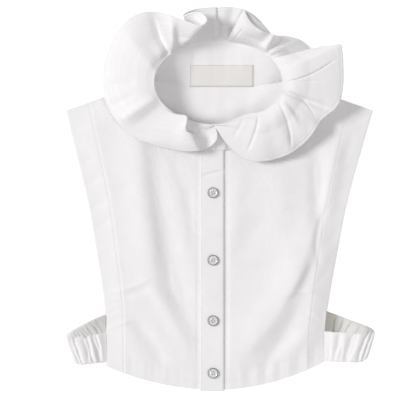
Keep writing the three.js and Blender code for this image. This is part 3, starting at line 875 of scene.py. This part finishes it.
# %% The ruffle's surface
PLEATS = table("from to start end wide high", [
    (68.2, 67.25, 0.12, 0.84, 0.9, -2),
    (68.5, 68.7, 0.12, 0.55, 1.1, -0.7),
    (70.5, 74.5, 0.14, 0.84, 1.05, -1.3),
    (71.9, 70.8, 0.16, 0.52, 1.1, -0.7),
    (75.8, 78, 0.1, 0.86, 2.2, -2.2),
    (74.9, 76.6, 0.1, 0.6, 2.6, 1.0),
    (80.4, 81.7, 0.1, 0.8, 1.8, -1.5),
    (82.8, 83.2, 0.1, 0.7, 2.4, -0.8),
    (65.2, 65, 0.12, 0.6, 1.6, -1.0),
    (59.8, 60, 0.3, 0.95, 2.4, 1.6),
    (52.35, 52.25, 0.08, 0.62, 0.8, -1.1),
    (42.2, 40.6, 0, 1, 0.9, -0.9),
    (27, 27, 0.05, 0.75, 4.5, 2),
    (25.8, 25, 0.05, 0.95, 6, -2.6),
    (22, 21.6, 0.1, 0.8, 6, 1.4),
    (14, 13.7, 0.05, 0.9, 6, 1.3),
    (11.8, 12.4, 0.1, 0.75, 7, -0.6),
    (17.4, 17, 0.4, 0.9, 4.5, -1.3),
    (16, 15.3, 0.45, 0.95, 4, -1),
])
CURLS = table("u wide in up", [
    (0.086, 0.014, -12, -1),
    (0.108, 0.02, 12, 5),
    (0.142, 0.018, 7, 2),
    (0.335, 0.02, 4, 3),
])
TURNED_DOWN = {"rib": 46.6, "wide": 2.1, "from": 0.74, "drop": 13, "curve": 1.3}
RUFFLE_ROWS, RIM_ROWS, RUFFLE_COLUMNS = 36, 8, 1000
RIM_FROM = 0.93
BY_HEM = 0.65
ROOT_UP = 0.9
ROOT_RISE = {"high": 2.6, "fast": 2.2, "from_seam": 6}
FLAT_ROOT = {"u": 0.22, "wide": 0.13, "share": 0.85}
PLEAT_ENDS = {"start": 0.15, "end": 0.25}
HEM_GROOVE = {"u": 0.965, "wide": 0.014, "deep": 0.4}
RIM = {"fall": 0.2, "right_fall": 3.4, "x": 108, "y": 104, "over": 14, "from": 0.98, "wide": 0.02}
RUFFLE_CLOTH = 0.55

rib_at = {name: through(RIBS, "rib", name) for name in ("u", "x", "y", "z", "arch")}
fine = np.linspace(0, len(RIBS) - 1, 4000)
hem_step = np.hypot(np.diff(rib_at["x"](fine)), np.diff(rib_at["y"](fine)))
hem_share = np.concatenate([[0], np.cumsum(hem_step) / hem_step.sum()])
spacing = lerp(fine / fine[-1], hem_share, BY_HEM)
rib_line = np.interp(np.linspace(0, 1, RUFFLE_COLUMNS), spacing, fine)
inner_rows = np.linspace(0, RIM_FROM, RUFFLE_ROWS, endpoint=False)
reach = np.concatenate([inner_rows, np.linspace(RIM_FROM, 1, RIM_ROWS)])
ring_u = rib_at["u"](rib_line)
root = ring(ring_u) + np.array([0, 0, ROOT_UP])
hem = np.stack([rib_at[name](rib_line) for name in ("x", "y", "z")], -1)
v = reach[:, None, None]
ruffle_grid = root[None] * (1 - v) + hem[None] * v
arching = rib_at["arch"](rib_line)[None] * (4 * reach * (1 - reach))[:, None]
rising = ROOT_RISE["high"] * np.sin(np.pi * np.minimum(1, ROOT_RISE["fast"] * reach))
rising = rising * smooth(reach * ROOT_RISE["from_seam"])
flat_left = FLAT_ROOT["share"] * np.exp(-(((ring_u - FLAT_ROOT["u"]) / FLAT_ROOT["wide"]) ** 4))
ruffle_grid[..., 2] += arching + rising[:, None] * (1 - flat_left)

near_root = np.sin(np.pi * np.clip(reach / 0.5, 0, 1)) ** 2
inward = np.array([RING["x"], RING["y"]]) - root[:, :2]
inward /= np.linalg.norm(inward, axis=1, keepdims=True)
for curl in CURLS:
    share = near_root[:, None] * hump(ring_u, curl)[None]
    ruffle_grid[..., :2] += (share * curl["in"])[..., None] * inward[None]
    ruffle_grid[..., 2] += share * curl["up"]

spread = np.linalg.norm(np.gradient(ruffle_grid, rib_line, axis=1), axis=2)
for pleat in PLEATS:
    line = lerp(pleat["from"], pleat["to"], reach)[:, None]
    off = (rib_line[None] - line) * spread
    ends = smooth((reach - pleat["start"]) / PLEAT_ENDS["start"] + 0.5)
    ends = ends * smooth((pleat["end"] - reach) / PLEAT_ENDS["end"] + 0.5)
    ruffle_grid[..., 2] += pleat["high"] * ends[:, None] * np.exp(-((off / pleat["wide"]) ** 2))

ruffle_grid[..., 2] -= HEM_GROOVE["deep"] * hump(reach, HEM_GROOVE)[:, None]
at_right = smooth((hem[:, 0] - RIM["x"]) / RIM["over"]) * smooth((hem[:, 1] - RIM["y"]) / RIM["over"])
rim_fall = lerp(RIM["fall"], RIM["right_fall"], at_right)
ruffle_grid[..., 2] -= rim_fall * smooth((reach - RIM["from"]) / RIM["wide"])[:, None]
down = np.exp(-(((rib_line - TURNED_DOWN["rib"]) / TURNED_DOWN["wide"]) ** 4))
past = np.clip((reach - TURNED_DOWN["from"]) / (1 - TURNED_DOWN["from"]), 0, 1) ** TURNED_DOWN["curve"]
ruffle_grid[..., 2] -= TURNED_DOWN["drop"] * past[:, None] * down
ruffle_grid = ruffle_grid[:, ::-1]
ruffle = cloth("ruffle_cloth", ruffle_grid, behind(ruffle_grid, RUFFLE_CLOTH), poplin)
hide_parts("ruffle")

# %% [markdown]
# Each side strap is a gathered casing over flat elastic. It leaves the armhole edge, folds over on itself
# and comes back to the other side of the panel. The rows give its middle line with the lean of its cross
# section, and the gathers are narrow creases between puffs, none quite like the next. Where the inner side
# of the loop shows, the casing is painted greyer, a painted shade for the inside of the loop. Beside the
# right panel its first 30 mm run from a brown-grey painted shadow to the cotton's colour.

# %% Painted shade on the straps' inner legs
# The inner leg's casing colours are greyer than the cloth's: painted shade for the inside of the loop.
inner_leg_painted_shade = cotton_poplin("strap_inner_leg_painted_shade", "#D9D6D4", 1.0, light="#E4E2E0")
PAINTED_SHADOW_SPAN = {"from": 3, "to": 30}

tree = inner_leg_painted_shade.node_tree
colour = tree.nodes["Principled BSDF"].inputs["Base Color"]
place = add_node(tree, "ShaderNodeUVMap", {"uv_map": "cloth"}).outputs["UV"]
along = add_node(tree, "ShaderNodeSeparateXYZ", Vector=place).outputs["X"]
ramp = add_node(tree, "ShaderNodeMapRange", {"interpolation_type": "SMOOTHSTEP"}, Value=along)
ramp.inputs["From Min"].default_value = PAINTED_SHADOW_SPAN["from"] * MM
ramp.inputs["From Max"].default_value = PAINTED_SHADOW_SPAN["to"] * MM
ramp, cotton = ramp.outputs["Result"], colour.links[0].from_socket
# A brown-grey painted shadow next to the right panel, fading into the cotton's colour from 3 to 30 mm along
# the strap.
painted_shadow_colour = add_node(tree, "ShaderNodeMix", COLOUR_MIX, _0=ramp, _6=linear("#9B9891"), _7=cotton)
tree.links.new(painted_shadow_colour.outputs[2], colour)
print("made", inner_leg_painted_shade.name)

# %% Side straps
STRAP = {"wide": 33, "thick": 4.2, "rim": 0.5, "flat_end": 0.3, "ease": 0.6}
STRAP_ROWS, STRAP_COLUMNS = 30, 260
STRAP_LINES = {
    "left": table("s x y z turn", [
        (0, -125.2, -162.3, 1.9, 0),
        (1, -142, -164, 6.4, -2),
        (2, -157, -165.3, 7.6, -10),
        (3, -163.8, -163.5, 5.4, -17),
        (4, -157, -159, 3.1, -22),
        (5, -143, -151.5, 3, -26),
        (6, -126, -142.6, 1.8, -3),
    ]),
    "right": table("s x y z turn", [
        (0, 114.6, -161.3, 3.6, 0),
        (1, 133, -162, 8, 2),
        (2, 155, -162.5, 9, 10),
        (3, 163.8, -159.5, 5.9, 17),
        (4, 156, -154.5, 3.1, 19),
        (5, 136, -147.2, 3, 20),
        (6, 115.6, -139, 1.8, 5),
    ]),
}
GATHERS = {
    "left": table("s deep lean", [
        (0.46, 1.8, 0.2), (0.62, 1.4, 0.26), (1.02, 2.2, 0.24), (1.28, 1.2, 0.16), (1.86, 2.4, 0.28),
        (2.24, 1.6, 0.3), (3.4, 0.9, -0.1), (3.75, 1.1, -0.14), (4.0, 1.3, -0.18), (4.2, 1.1, -0.2),
        (4.42, 1.4, -0.2), (4.62, 1.2, -0.2), (4.85, 1.4, -0.22), (5.08, 1.2, -0.22), (5.3, 1.4, -0.24),
        (5.55, 1.6, -0.24), (5.8, 1.4, -0.2),
    ]),
    "right": table("s deep lean", [
        (0.06, 1.4, 0), (0.34, 2, 0.02), (0.82, 2.2, 0.16), (1.02, 1, 0.05), (1.4, 2, 0.1),
        (1.56, 1.6, 0.16), (2.1, 2.5, 0.12), (2.5, 1.6, 0.2), (3.3, 0.8, -0.1), (3.8, 1.2, -0.05),
        (4.5, 0.6, -0.1), (4.9, 1.4, -0.05), (5.25, 2.2, -0.05), (5.5, 2.4, 0),
    ]),
}
CREASE = {"steep": 0.07, "ramp": 0.2, "deep": 1.25, "sway": 0.03, "at_edge": 0.45}
PUFF = 0.7
BACK_LEG = {"from": 3.15, "floor": 0.8, "tip": 0.4, "up": 3}
LEG_RISE = {"s": 3, "s_over": 1.2, "end": 0.4, "end_over": 1.4}


def gathered_strap(side):
    """A strap's outer and inner face, from the panel round its fold and back to the panel."""
    rows = STRAP_LINES[side]
    last = rows[-1]["s"]
    s = np.linspace(0, last, STRAP_COLUMNS)
    centre = np.stack([through(rows, "s", name)(s) for name in ("x", "y", "z")], -1)
    lean = np.radians(through(rows, "s", "turn")(s))
    behind_leg = smooth((s - LEG_RISE["s"]) / LEG_RISE["s_over"])
    behind_leg = behind_leg * smooth((last + LEG_RISE["end"] - s) / LEG_RISE["end_over"])
    centre[:, 2] += BACK_LEG["up"] * behind_leg
    across = np.stack([np.sin(lean), np.cos(lean), BACK_LEG["tip"] * behind_leg], -1)
    out = np.cross(np.gradient(centre, axis=0), across)
    out /= np.linalg.norm(out, axis=1, keepdims=True)
    w = np.linspace(-1, 1, STRAP_ROWS)[:, None]
    crease = np.zeros((STRAP_ROWS, STRAP_COLUMNS))
    for g in GATHERS[side]:
        off = s[None] - g["s"] - g["lean"] * w - CREASE["sway"] * np.sin(4 * w + 9 * g["s"])
        slack_side = off > 0 if side == "left" else off < 0
        wide = np.where(slack_side, CREASE["ramp"], CREASE["steep"])
        crease += CREASE["deep"] * g["deep"] * np.exp(-((off / wide) ** 2))
    ends = lerp(STRAP["flat_end"], 1, smooth(np.minimum(s, last - s) / STRAP["ease"]))[None]
    shape = np.sqrt(np.clip(1 - w**6, 0, 1))
    puffed = STRAP["thick"] / 2 + PUFF - crease * lerp(1, CREASE["at_edge"], w**4)
    half = np.maximum(STRAP["rim"] / 2 + puffed * shape * ends, STRAP["rim"] / 2)
    middle = centre[None] + across[None] * (w * STRAP["wide"] / 2)[..., None]
    front, under = middle + out[None] * half[..., None], middle - out[None] * half[..., None]
    front[..., 2] = np.maximum(front[..., 2], BACK_LEG["floor"])
    under[..., 2] = np.maximum(under[..., 2], BACK_LEG["floor"] - STRAP["rim"])
    return front, under


straps = {}
for side in ("left", "right"):
    front, back_face = gathered_strap(side)
    if side == "right":
        front, back_face = front[:, ::-1], back_face[:, ::-1]
    piece = cloth(f"strap_{side}_cloth", front, back_face, pressed_poplin)
    inner_leg = np.linspace(0, STRAP_LINES[side][-1]["s"], STRAP_COLUMNS)[:-1] > BACK_LEG["from"]
    inner_leg = np.tile(inner_leg if side == "left" else inner_leg[::-1], 2 * (STRAP_ROWS - 1))
    # Faces of the inner leg take the painted shade material.
    piece.data.materials.append(inner_leg_painted_shade)
    for index in np.flatnonzero(inner_leg):
        piece.data.polygons[index].material_index = 1
    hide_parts(f"strap_{side}")
    straps[side] = (piece, front)

# %% [markdown]
# The label is a strip of woven satin, sewn to the inside of the stand at the back of the neck. It has no
# words here: the satin is left blank, with the fine darker line of its turned edge.

# %% Label
LABEL = {"x": 1.5, "y": 136, "wide": 70, "high": 24, "thick": 0.6, "gap": 0.6}
LABEL_ROWS, LABEL_COLUMNS = 26, 72
LABEL_ROUND = 0.5
SATIN_STEP = 0.7
STEPS = {"times": 14, "u": 420, "v": 50}

satin, tree, shader = new_material("woven_satin", Roughness=0.42, Sheen_Weight=0.2)
place = add_node(tree, "ShaderNodeUVMap", {"uv_map": "cloth"}).outputs["UV"]
scale = waves_apart(SATIN_STEP)
rib = add_node(tree, "ShaderNodeTexWave", {"bands_direction": "Y"}, Vector=place, Scale=scale, Distortion=0.4)
rib = rib.outputs["Fac"]
tint = add_node(tree, "ShaderNodeMix", COLOUR_MIX, _0=rib, _6=linear("#E0DDDA"), _7=linear("#EAE7E4"))
tree.links.new(tint.outputs[2], shader.inputs["Base Color"])


def height_of_stand(x, y):
    """The stand's height under each place on the label, found by stepping towards that place."""
    v, u = np.full_like(x, 0.5), np.full_like(x, 0.5)
    for _ in range(STEPS["times"]):
        p = stand_point(v, u)
        u += (x - p[..., 0]) / STEPS["u"]
        v += (y - p[..., 1]) / STEPS["v"]
    return stand_point(v, u)[..., 2]


lx = LABEL["x"] + LABEL["wide"] * np.linspace(-0.5, 0.5, LABEL_COLUMNS)
ly = LABEL["y"] + LABEL["high"] * np.linspace(-0.5, 0.5, LABEL_ROWS)
gx, gy = np.meshgrid(lx, ly)
label_grid = np.stack([gx, gy, height_of_stand(gx, gy) + LABEL["gap"] + LABEL["thick"]], -1)
rim_off = np.minimum(LABEL["wide"] / 2 - abs(gx - LABEL["x"]), LABEL["high"] / 2 - abs(gy - LABEL["y"]))
label_grid[..., 2] -= fold_over(rim_off, LABEL_ROUND)
label = cloth("label_satin", label_grid, label_grid - [0, 0, LABEL["thick"]], satin)
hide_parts("label")

# %% [markdown]
# The buttons are turned from shell: a rounded rim, a shallow dish inside it and four holes. The lathe
# profile is spun round, and the holes are cut with a boolean. Their grey is the grey of pearl, with a faint
# swirl in it and a clear polish. The outer faces of the rim are dark grey: partly the shell's darker back,
# partly painted shade for the dark ring round the button's steep sides.

# %% Buttons
BUTTON = {"across": 11.6, "rim_from": 5.15, "hole": 0.72, "pitch": 1.65, "gap": 0.3}
BUTTON_Y = [7.5, -66.5, -133, -190.5]
BUTTON_TURN = [18, -12, 34, 5]
LATHE_STEPS, DRILL_STEPS, DRILL_LONG = 56, 14, 8
SWIRL_WIDE = 5
BUTTON_PROFILE = table("r z", [
    (0.0, 0.0), (4.6, 0.0), (5.4, 0.5), (5.8, 1.2), (5.75, 1.9), (5.45, 2.4),
    (5.0, 2.6), (4.5, 2.45), (4.1, 2.0), (3.4, 1.75), (0.0, 1.65),
])

shell, tree, shader = new_material("mother_of_pearl", Roughness=0.16, Coat_Weight=0.6, Coat_Roughness=0.06)
place = add_node(tree, "ShaderNodeTexCoord").outputs["Object"]
scale = 1 / (SWIRL_WIDE * MM)
swirl = add_node(tree, "ShaderNodeTexNoise", Vector=place, Scale=scale, Detail=4.0, Distortion=1.6)
swirl = swirl.outputs["Fac"]
tint = add_node(tree, "ShaderNodeMix", COLOUR_MIX, _0=swirl, _6=linear("#B9B8BA"), _7=linear("#F2F1F0"))
tree.links.new(tint.outputs[2], shader.inputs["Base Color"])
rim_bark_and_painted_shade, _, shader = new_material("pearl_rim_bark_and_painted_shade", Roughness=0.3)
shader.inputs["Base Color"].default_value = linear("#6E6C6C")


def mesh_of(obj):
    """The evaluated object's mesh, with its modifiers applied; the object itself is removed."""
    graph = bpy.context.evaluated_depsgraph_get()
    mesh = bpy.data.meshes.new_from_object(obj.evaluated_get(graph), depsgraph=graph)
    bpy.data.objects.remove(obj)
    return mesh


def turned(name, profile, steps):
    """A closed turned body from a profile whose first and last rows lie on its axis."""
    bm = bmesh.new()
    rings = []
    angles = [TURN * k / steps for k in range(steps)]
    for row in profile[1:-1]:
        places = [(row["r"] * math.cos(a), row["r"] * math.sin(a), row["z"]) for a in angles]
        rings.append([bm.verts.new(place) for place in places])
    for low, high in zip(rings, rings[1:]):
        for k in range(steps):
            after = (k + 1) % steps
            bm.faces.new((low[k], low[after], high[after], high[k]))
    for ends, row, flip in ((rings[0], profile[0], True), (rings[-1], profile[-1], False)):
        tip = bm.verts.new((0, 0, row["z"]))
        for k in range(steps):
            after = (k + 1) % steps
            bm.faces.new((tip, ends[after], ends[k]) if flip else (tip, ends[k], ends[after]))
    bm.normal_update()
    mesh = bpy.data.meshes.new(name)
    bm.to_mesh(mesh)
    bm.free()
    return linked(name, mesh)


def drilled_button():
    """The mesh of one button in millimetres: turned, then drilled with four holes."""
    blank = turned("button_blank", BUTTON_PROFILE, LATHE_STEPS)
    drills = bmesh.new()
    sizes = {"radius1": BUTTON["hole"], "radius2": BUTTON["hole"], "depth": DRILL_LONG}
    for corner in range(4):
        angle = TURN * (corner + 0.5) / 4
        hole = bmesh.ops.create_cone(drills, cap_ends=True, segments=DRILL_STEPS, **sizes)
        shift = (BUTTON["pitch"] * math.cos(angle), BUTTON["pitch"] * math.sin(angle), 1)
        bmesh.ops.translate(drills, verts=hole["verts"], vec=shift)
    drill_mesh = bpy.data.meshes.new("drills")
    drills.to_mesh(drill_mesh)
    drills.free()
    drill = linked("drills", drill_mesh)
    cut = blank.modifiers.new("holes", "BOOLEAN")
    cut.object = drill
    cut.solver = "EXACT"
    mesh = mesh_of(blank)
    bpy.data.objects.remove(drill)
    return mesh


def button_place(y):
    """Where a button sits on the placket, as a matrix in millimetres: its slope follows the cloth."""
    reach = BUTTON["across"] / 2
    ends = placket_top(np.full(3, PLACKET["middle"]), np.array([y - reach, y, y + reach], float))
    slope = math.atan2(ends[2] - ends[0], BUTTON["across"])
    up = max(ends[1], (ends[0] + ends[2]) / 2) + BUTTON["gap"]
    return Matrix.Translation((PLACKET["middle"], y, up)) @ Matrix.Rotation(slope, 4, "X")


drilled = drilled_button()
button_mats = []
for number, (y, spin) in enumerate(zip(BUTTON_Y, BUTTON_TURN), 1):
    place = button_place(y) @ Matrix.Rotation(math.radians(spin), 4, "Z")
    button_mats.append(place)
    mesh = drilled.copy()
    mesh.transform(Matrix.Scale(MM, 4) @ place)
    mesh.shade_smooth()
    mesh.set_sharp_from_angle(angle=math.radians(45))
    mesh.materials.clear()
    mesh.materials.append(shell)
    mesh.materials.append(rim_bark_and_painted_shade)
    # Faces outside rim_from take the dark rim: the shell's darker back and painted shade.
    for index, face in enumerate(drilled.polygons):
        mesh.polygons[index].material_index = int(face.center.xy.length > BUTTON["rim_from"])
    button = on_part(f"shell_button_{number}", mesh)
    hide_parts(f"button_{number}")

# %% [markdown]
# Stitches and the rolled hem follow paths, so Geometry Nodes make them. One tree sets a bead of thread at
# every pitch along a path, turned to the path. The other sweeps a round section along the ruffle's hem.
# Each tree has named inputs for its sizes.

# %% Geometry Nodes for thread and hem
def tree_with(name, inputs):
    """A geometry tree with a path socket, a number for each named size, and a geometry output."""
    tree = bpy.data.node_groups.new(name, "GeometryNodeTree")
    tree.interface.new_socket("Path", in_out="INPUT", socket_type="NodeSocketGeometry")
    for size in inputs:
        tree.interface.new_socket(size, in_out="INPUT", socket_type="NodeSocketFloat")
    tree.interface.new_socket("Made", in_out="OUTPUT", socket_type="NodeSocketGeometry")
    return tree, tree.nodes.new("NodeGroupInput"), tree.nodes.new("NodeGroupOutput")


def finish_tree(tree, outlet, geometry, material):
    """Make the geometry real, give it its material and send it to the output."""
    real = add_node(tree, "GeometryNodeRealizeInstances", Geometry=geometry)
    done = add_node(tree, "GeometryNodeSetMaterial", Geometry=real.outputs[0], Material=material)
    tree.links.new(done.outputs[0], outlet.inputs[0])


def stitch_tree(name, material):
    """A bead of thread at every pitch along the path, as long as a stitch and as thick as the thread."""
    tree, given, outlet = tree_with(name, ("Pitch", "Stitch", "Thread"))
    path, pitch, thick = given.outputs["Path"], given.outputs["Pitch"], given.outputs["Thread"]
    even = add_node(tree, "GeometryNodeResampleCurve", {"mode": "LENGTH"}, Curve=path, Length=pitch)
    marks = add_node(tree, "GeometryNodeCurveToPoints", {"mode": "EVALUATED"}, Curve=even.outputs[0])
    bead = add_node(tree, "GeometryNodeMeshIcoSphere", Radius=0.5, Subdivisions=2)
    size = add_node(tree, "ShaderNodeCombineXYZ", X=thick, Y=thick, Z=given.outputs["Stitch"])
    sewn = add_node(
        tree,
        "GeometryNodeInstanceOnPoints",
        Points=marks.outputs["Points"],
        Instance=bead.outputs["Mesh"],
        Rotation=marks.outputs["Rotation"],
        Scale=size.outputs[0],
    )
    finish_tree(tree, outlet, sewn.outputs[0], material)
    return tree


def hem_tree():
    """A round section swept along the path, with closed ends."""
    tree, given, outlet = tree_with("rolled_hem", ("Radius",))
    path, radius = given.outputs["Path"], given.outputs["Radius"]
    section = add_node(tree, "GeometryNodeCurvePrimitiveCircle", Resolution=8, Radius=radius)
    section = section.outputs["Curve"]
    swept = add_node(tree, "GeometryNodeCurveToMesh", Curve=path, Profile_Curve=section, Fill_Caps=True)
    finish_tree(tree, outlet, swept.outputs[0], poplin)
    return tree


def along_paths(name, paths, tree, sizes):
    """Run a tree along paths of points in millimetres and keep the result as a piece on the part."""
    curve = bpy.data.curves.new(name, "CURVE")
    curve.dimensions = "3D"
    for path in paths:
        spline = curve.splines.new("POLY")
        spline.points.add(len(path) - 1)
        flat = np.concatenate([np.asarray(path, float) * MM, np.ones((len(path), 1))], 1)
        spline.points.foreach_set("co", flat.ravel())
    guide = linked(name + "_path", curve)
    made = guide.modifiers.new(name, "NODES")
    made.node_group = tree
    sockets = {item.name: item.identifier for item in tree.interface.items_tree if item.in_out == "INPUT"}
    for size, value in sizes.items():
        made[sockets[size]] = value * MM
    mesh = mesh_of(guide)
    mesh.shade_smooth()
    return on_part(name, mesh)


stitching = stitch_tree("thread_stitches", thread)
edging = stitch_tree("label_edging", edge_thread)
rolled = hem_tree()

# %% [markdown]
# The seams that show in the photograph: the placket's folded edge, the inner edges of both armhole bands,
# the hem turned up 15 mm, the seam between neck and stand, the label's four sides, the ends of the straps,
# and the threads that hold the buttons.

# %% Stitches
STITCH = {"Pitch": 2.6, "Stitch": 1.9, "Thread": 0.36}
FINE_STITCH = {"Pitch": 2.1, "Stitch": 1.5, "Thread": 0.3}
EDGE_STITCH = {"Pitch": 0.9, "Stitch": 1.1, "Thread": 0.5}
BUTTON_STITCH = {"Pitch": 0.25, "Stitch": 0.5, "Thread": 0.42}
ABOVE = 0.08
PLACKET_STITCH_X = -20.3
BAND_COLUMN = {"left": -3, "right": 2}
HEM_LINES = {"left": (-103, -25), "right": (7, 97)}
BAND_HEM = (99.5, 113.5)
NECK_SEEN = (0.27, 0.73)
HEM_ROLL = {"Radius": 0.72}


def column_path(grid, column):
    """A line just above one column of a grid of points, without the ends of the column."""
    path = grid[4:-4, column].copy()
    path[:, 2] += ABOVE
    return path


down_y = np.linspace(foot + 3, seam_y[1] - 3, 160)
edge_path = np.stack([np.full_like(down_y, PLACKET_STITCH_X), down_y], -1)
edge_z = placket_top(edge_path[:, 0], edge_path[:, 1]) + ABOVE
placket_thread = along_paths("placket_stitches", [np.column_stack([edge_path, edge_z])], stitching, STITCH)

for side, column in BAND_COLUMN.items():
    path = column_path(bands[side][1], column)
    along_paths(f"band_{side}_stitches", [path], stitching, STITCH)

for side, (x0, x1) in HEM_LINES.items():
    x = np.linspace(x0, x1, 80)
    y = hem_y(x) + HEM_DEEP
    paths = [np.column_stack([x, y, front_top(x, y) + ABOVE])]
    if side == "right":
        x = np.linspace(*BAND_HEM, 16)
        y = hem_y(x) + HEM_DEEP
        paths.append(np.column_stack([x, y, front_top(x, y) + BAND_UP["right"] + ABOVE]))
    along_paths(f"hem_{side}_stitches", paths, stitching, FINE_STITCH)

neck_u = np.linspace(*NECK_SEEN, 160)
neck_path = stand_point(np.full_like(neck_u, 0.05), neck_u)
neck_path[:, 2] += 0.1
neck_thread = along_paths("neck_stitches", [neck_path], stitching, STITCH)

edge = label_grid + [0, 0, 0.05]
sides = [edge[1, 1:-1], edge[1:-1, -2], edge[-2, -2:0:-1], edge[-2:0:-1, 1]]
label_thread = along_paths("label_edge_stitches", sides, edging, EDGE_STITCH)

for side, (piece, front) in straps.items():
    ends = [front[2:-2, 5] + [0, 0, 0.1], front[2:-2, -6] + [0, 0, 0.1]]
    along_paths(f"strap_{side}_stitches", ends, stitching, FINE_STITCH)

button_paths = []
hole_at = BUTTON["pitch"] * math.cos(TURN / 8)
for place in button_mats:
    for x in (-hole_at, hole_at):
        arch = [(x, t * hole_at, 2.15 - 0.5 * t * t) for t in np.linspace(-1, 1, 9)]
        button_paths.append(np.array([tuple(place @ Vector(point)) for point in arch]))
along_paths("button_threads", button_paths, stitching, BUTTON_STITCH)

ruffle_hem = along_paths("ruffle_hem_roll", [ruffle_grid[-1] - [0, 0, 0.2]], rolled, HEM_ROLL)

# %% [markdown]
# Each piece of cloth prints the size it was cut to, as far as it shows, beside the area of it that shows.

# %% The cuts
FRONT_CUTS = {"left": (0.152, 0.342), "right": (0.190, 0.342)}
BAND_CUTS = {"left": (0.025, 0.305), "right": (0.026, 0.305)}
STRAP_CUT, STRAP_FULL = (0.033, 0.125), 1.25


def cut_from(piece, grid, flat):
    """Print the area that shows of a piece and the flat size it was cut to."""
    shown = area_of(grid)
    print(f"{piece.name}: {shown * 1e4:.0f} cm2 shown, cut {flat[0] * 1e3:.0f} x {flat[1] * 1e3:.0f} mm")


for side in ("left", "right"):
    piece, outer = fronts[side]
    cut_from(piece, outer, FRONT_CUTS[side])
    piece, outer = bands[side]
    cut_from(piece, outer, BAND_CUTS[side])
    piece, outer = straps[side]
    cut_from(piece, outer, STRAP_CUT)
cut_from(back, back_grid, (0.340, 0.342))
cut_from(placket, placket_grid, (0.027, 0.275))
cut_from(stand, stand_grid, (0.400, 0.045))
cut_from(ruffle, ruffle_grid, (0.640, 0.080))
cut_from(label, label_grid, (0.070, 0.024))
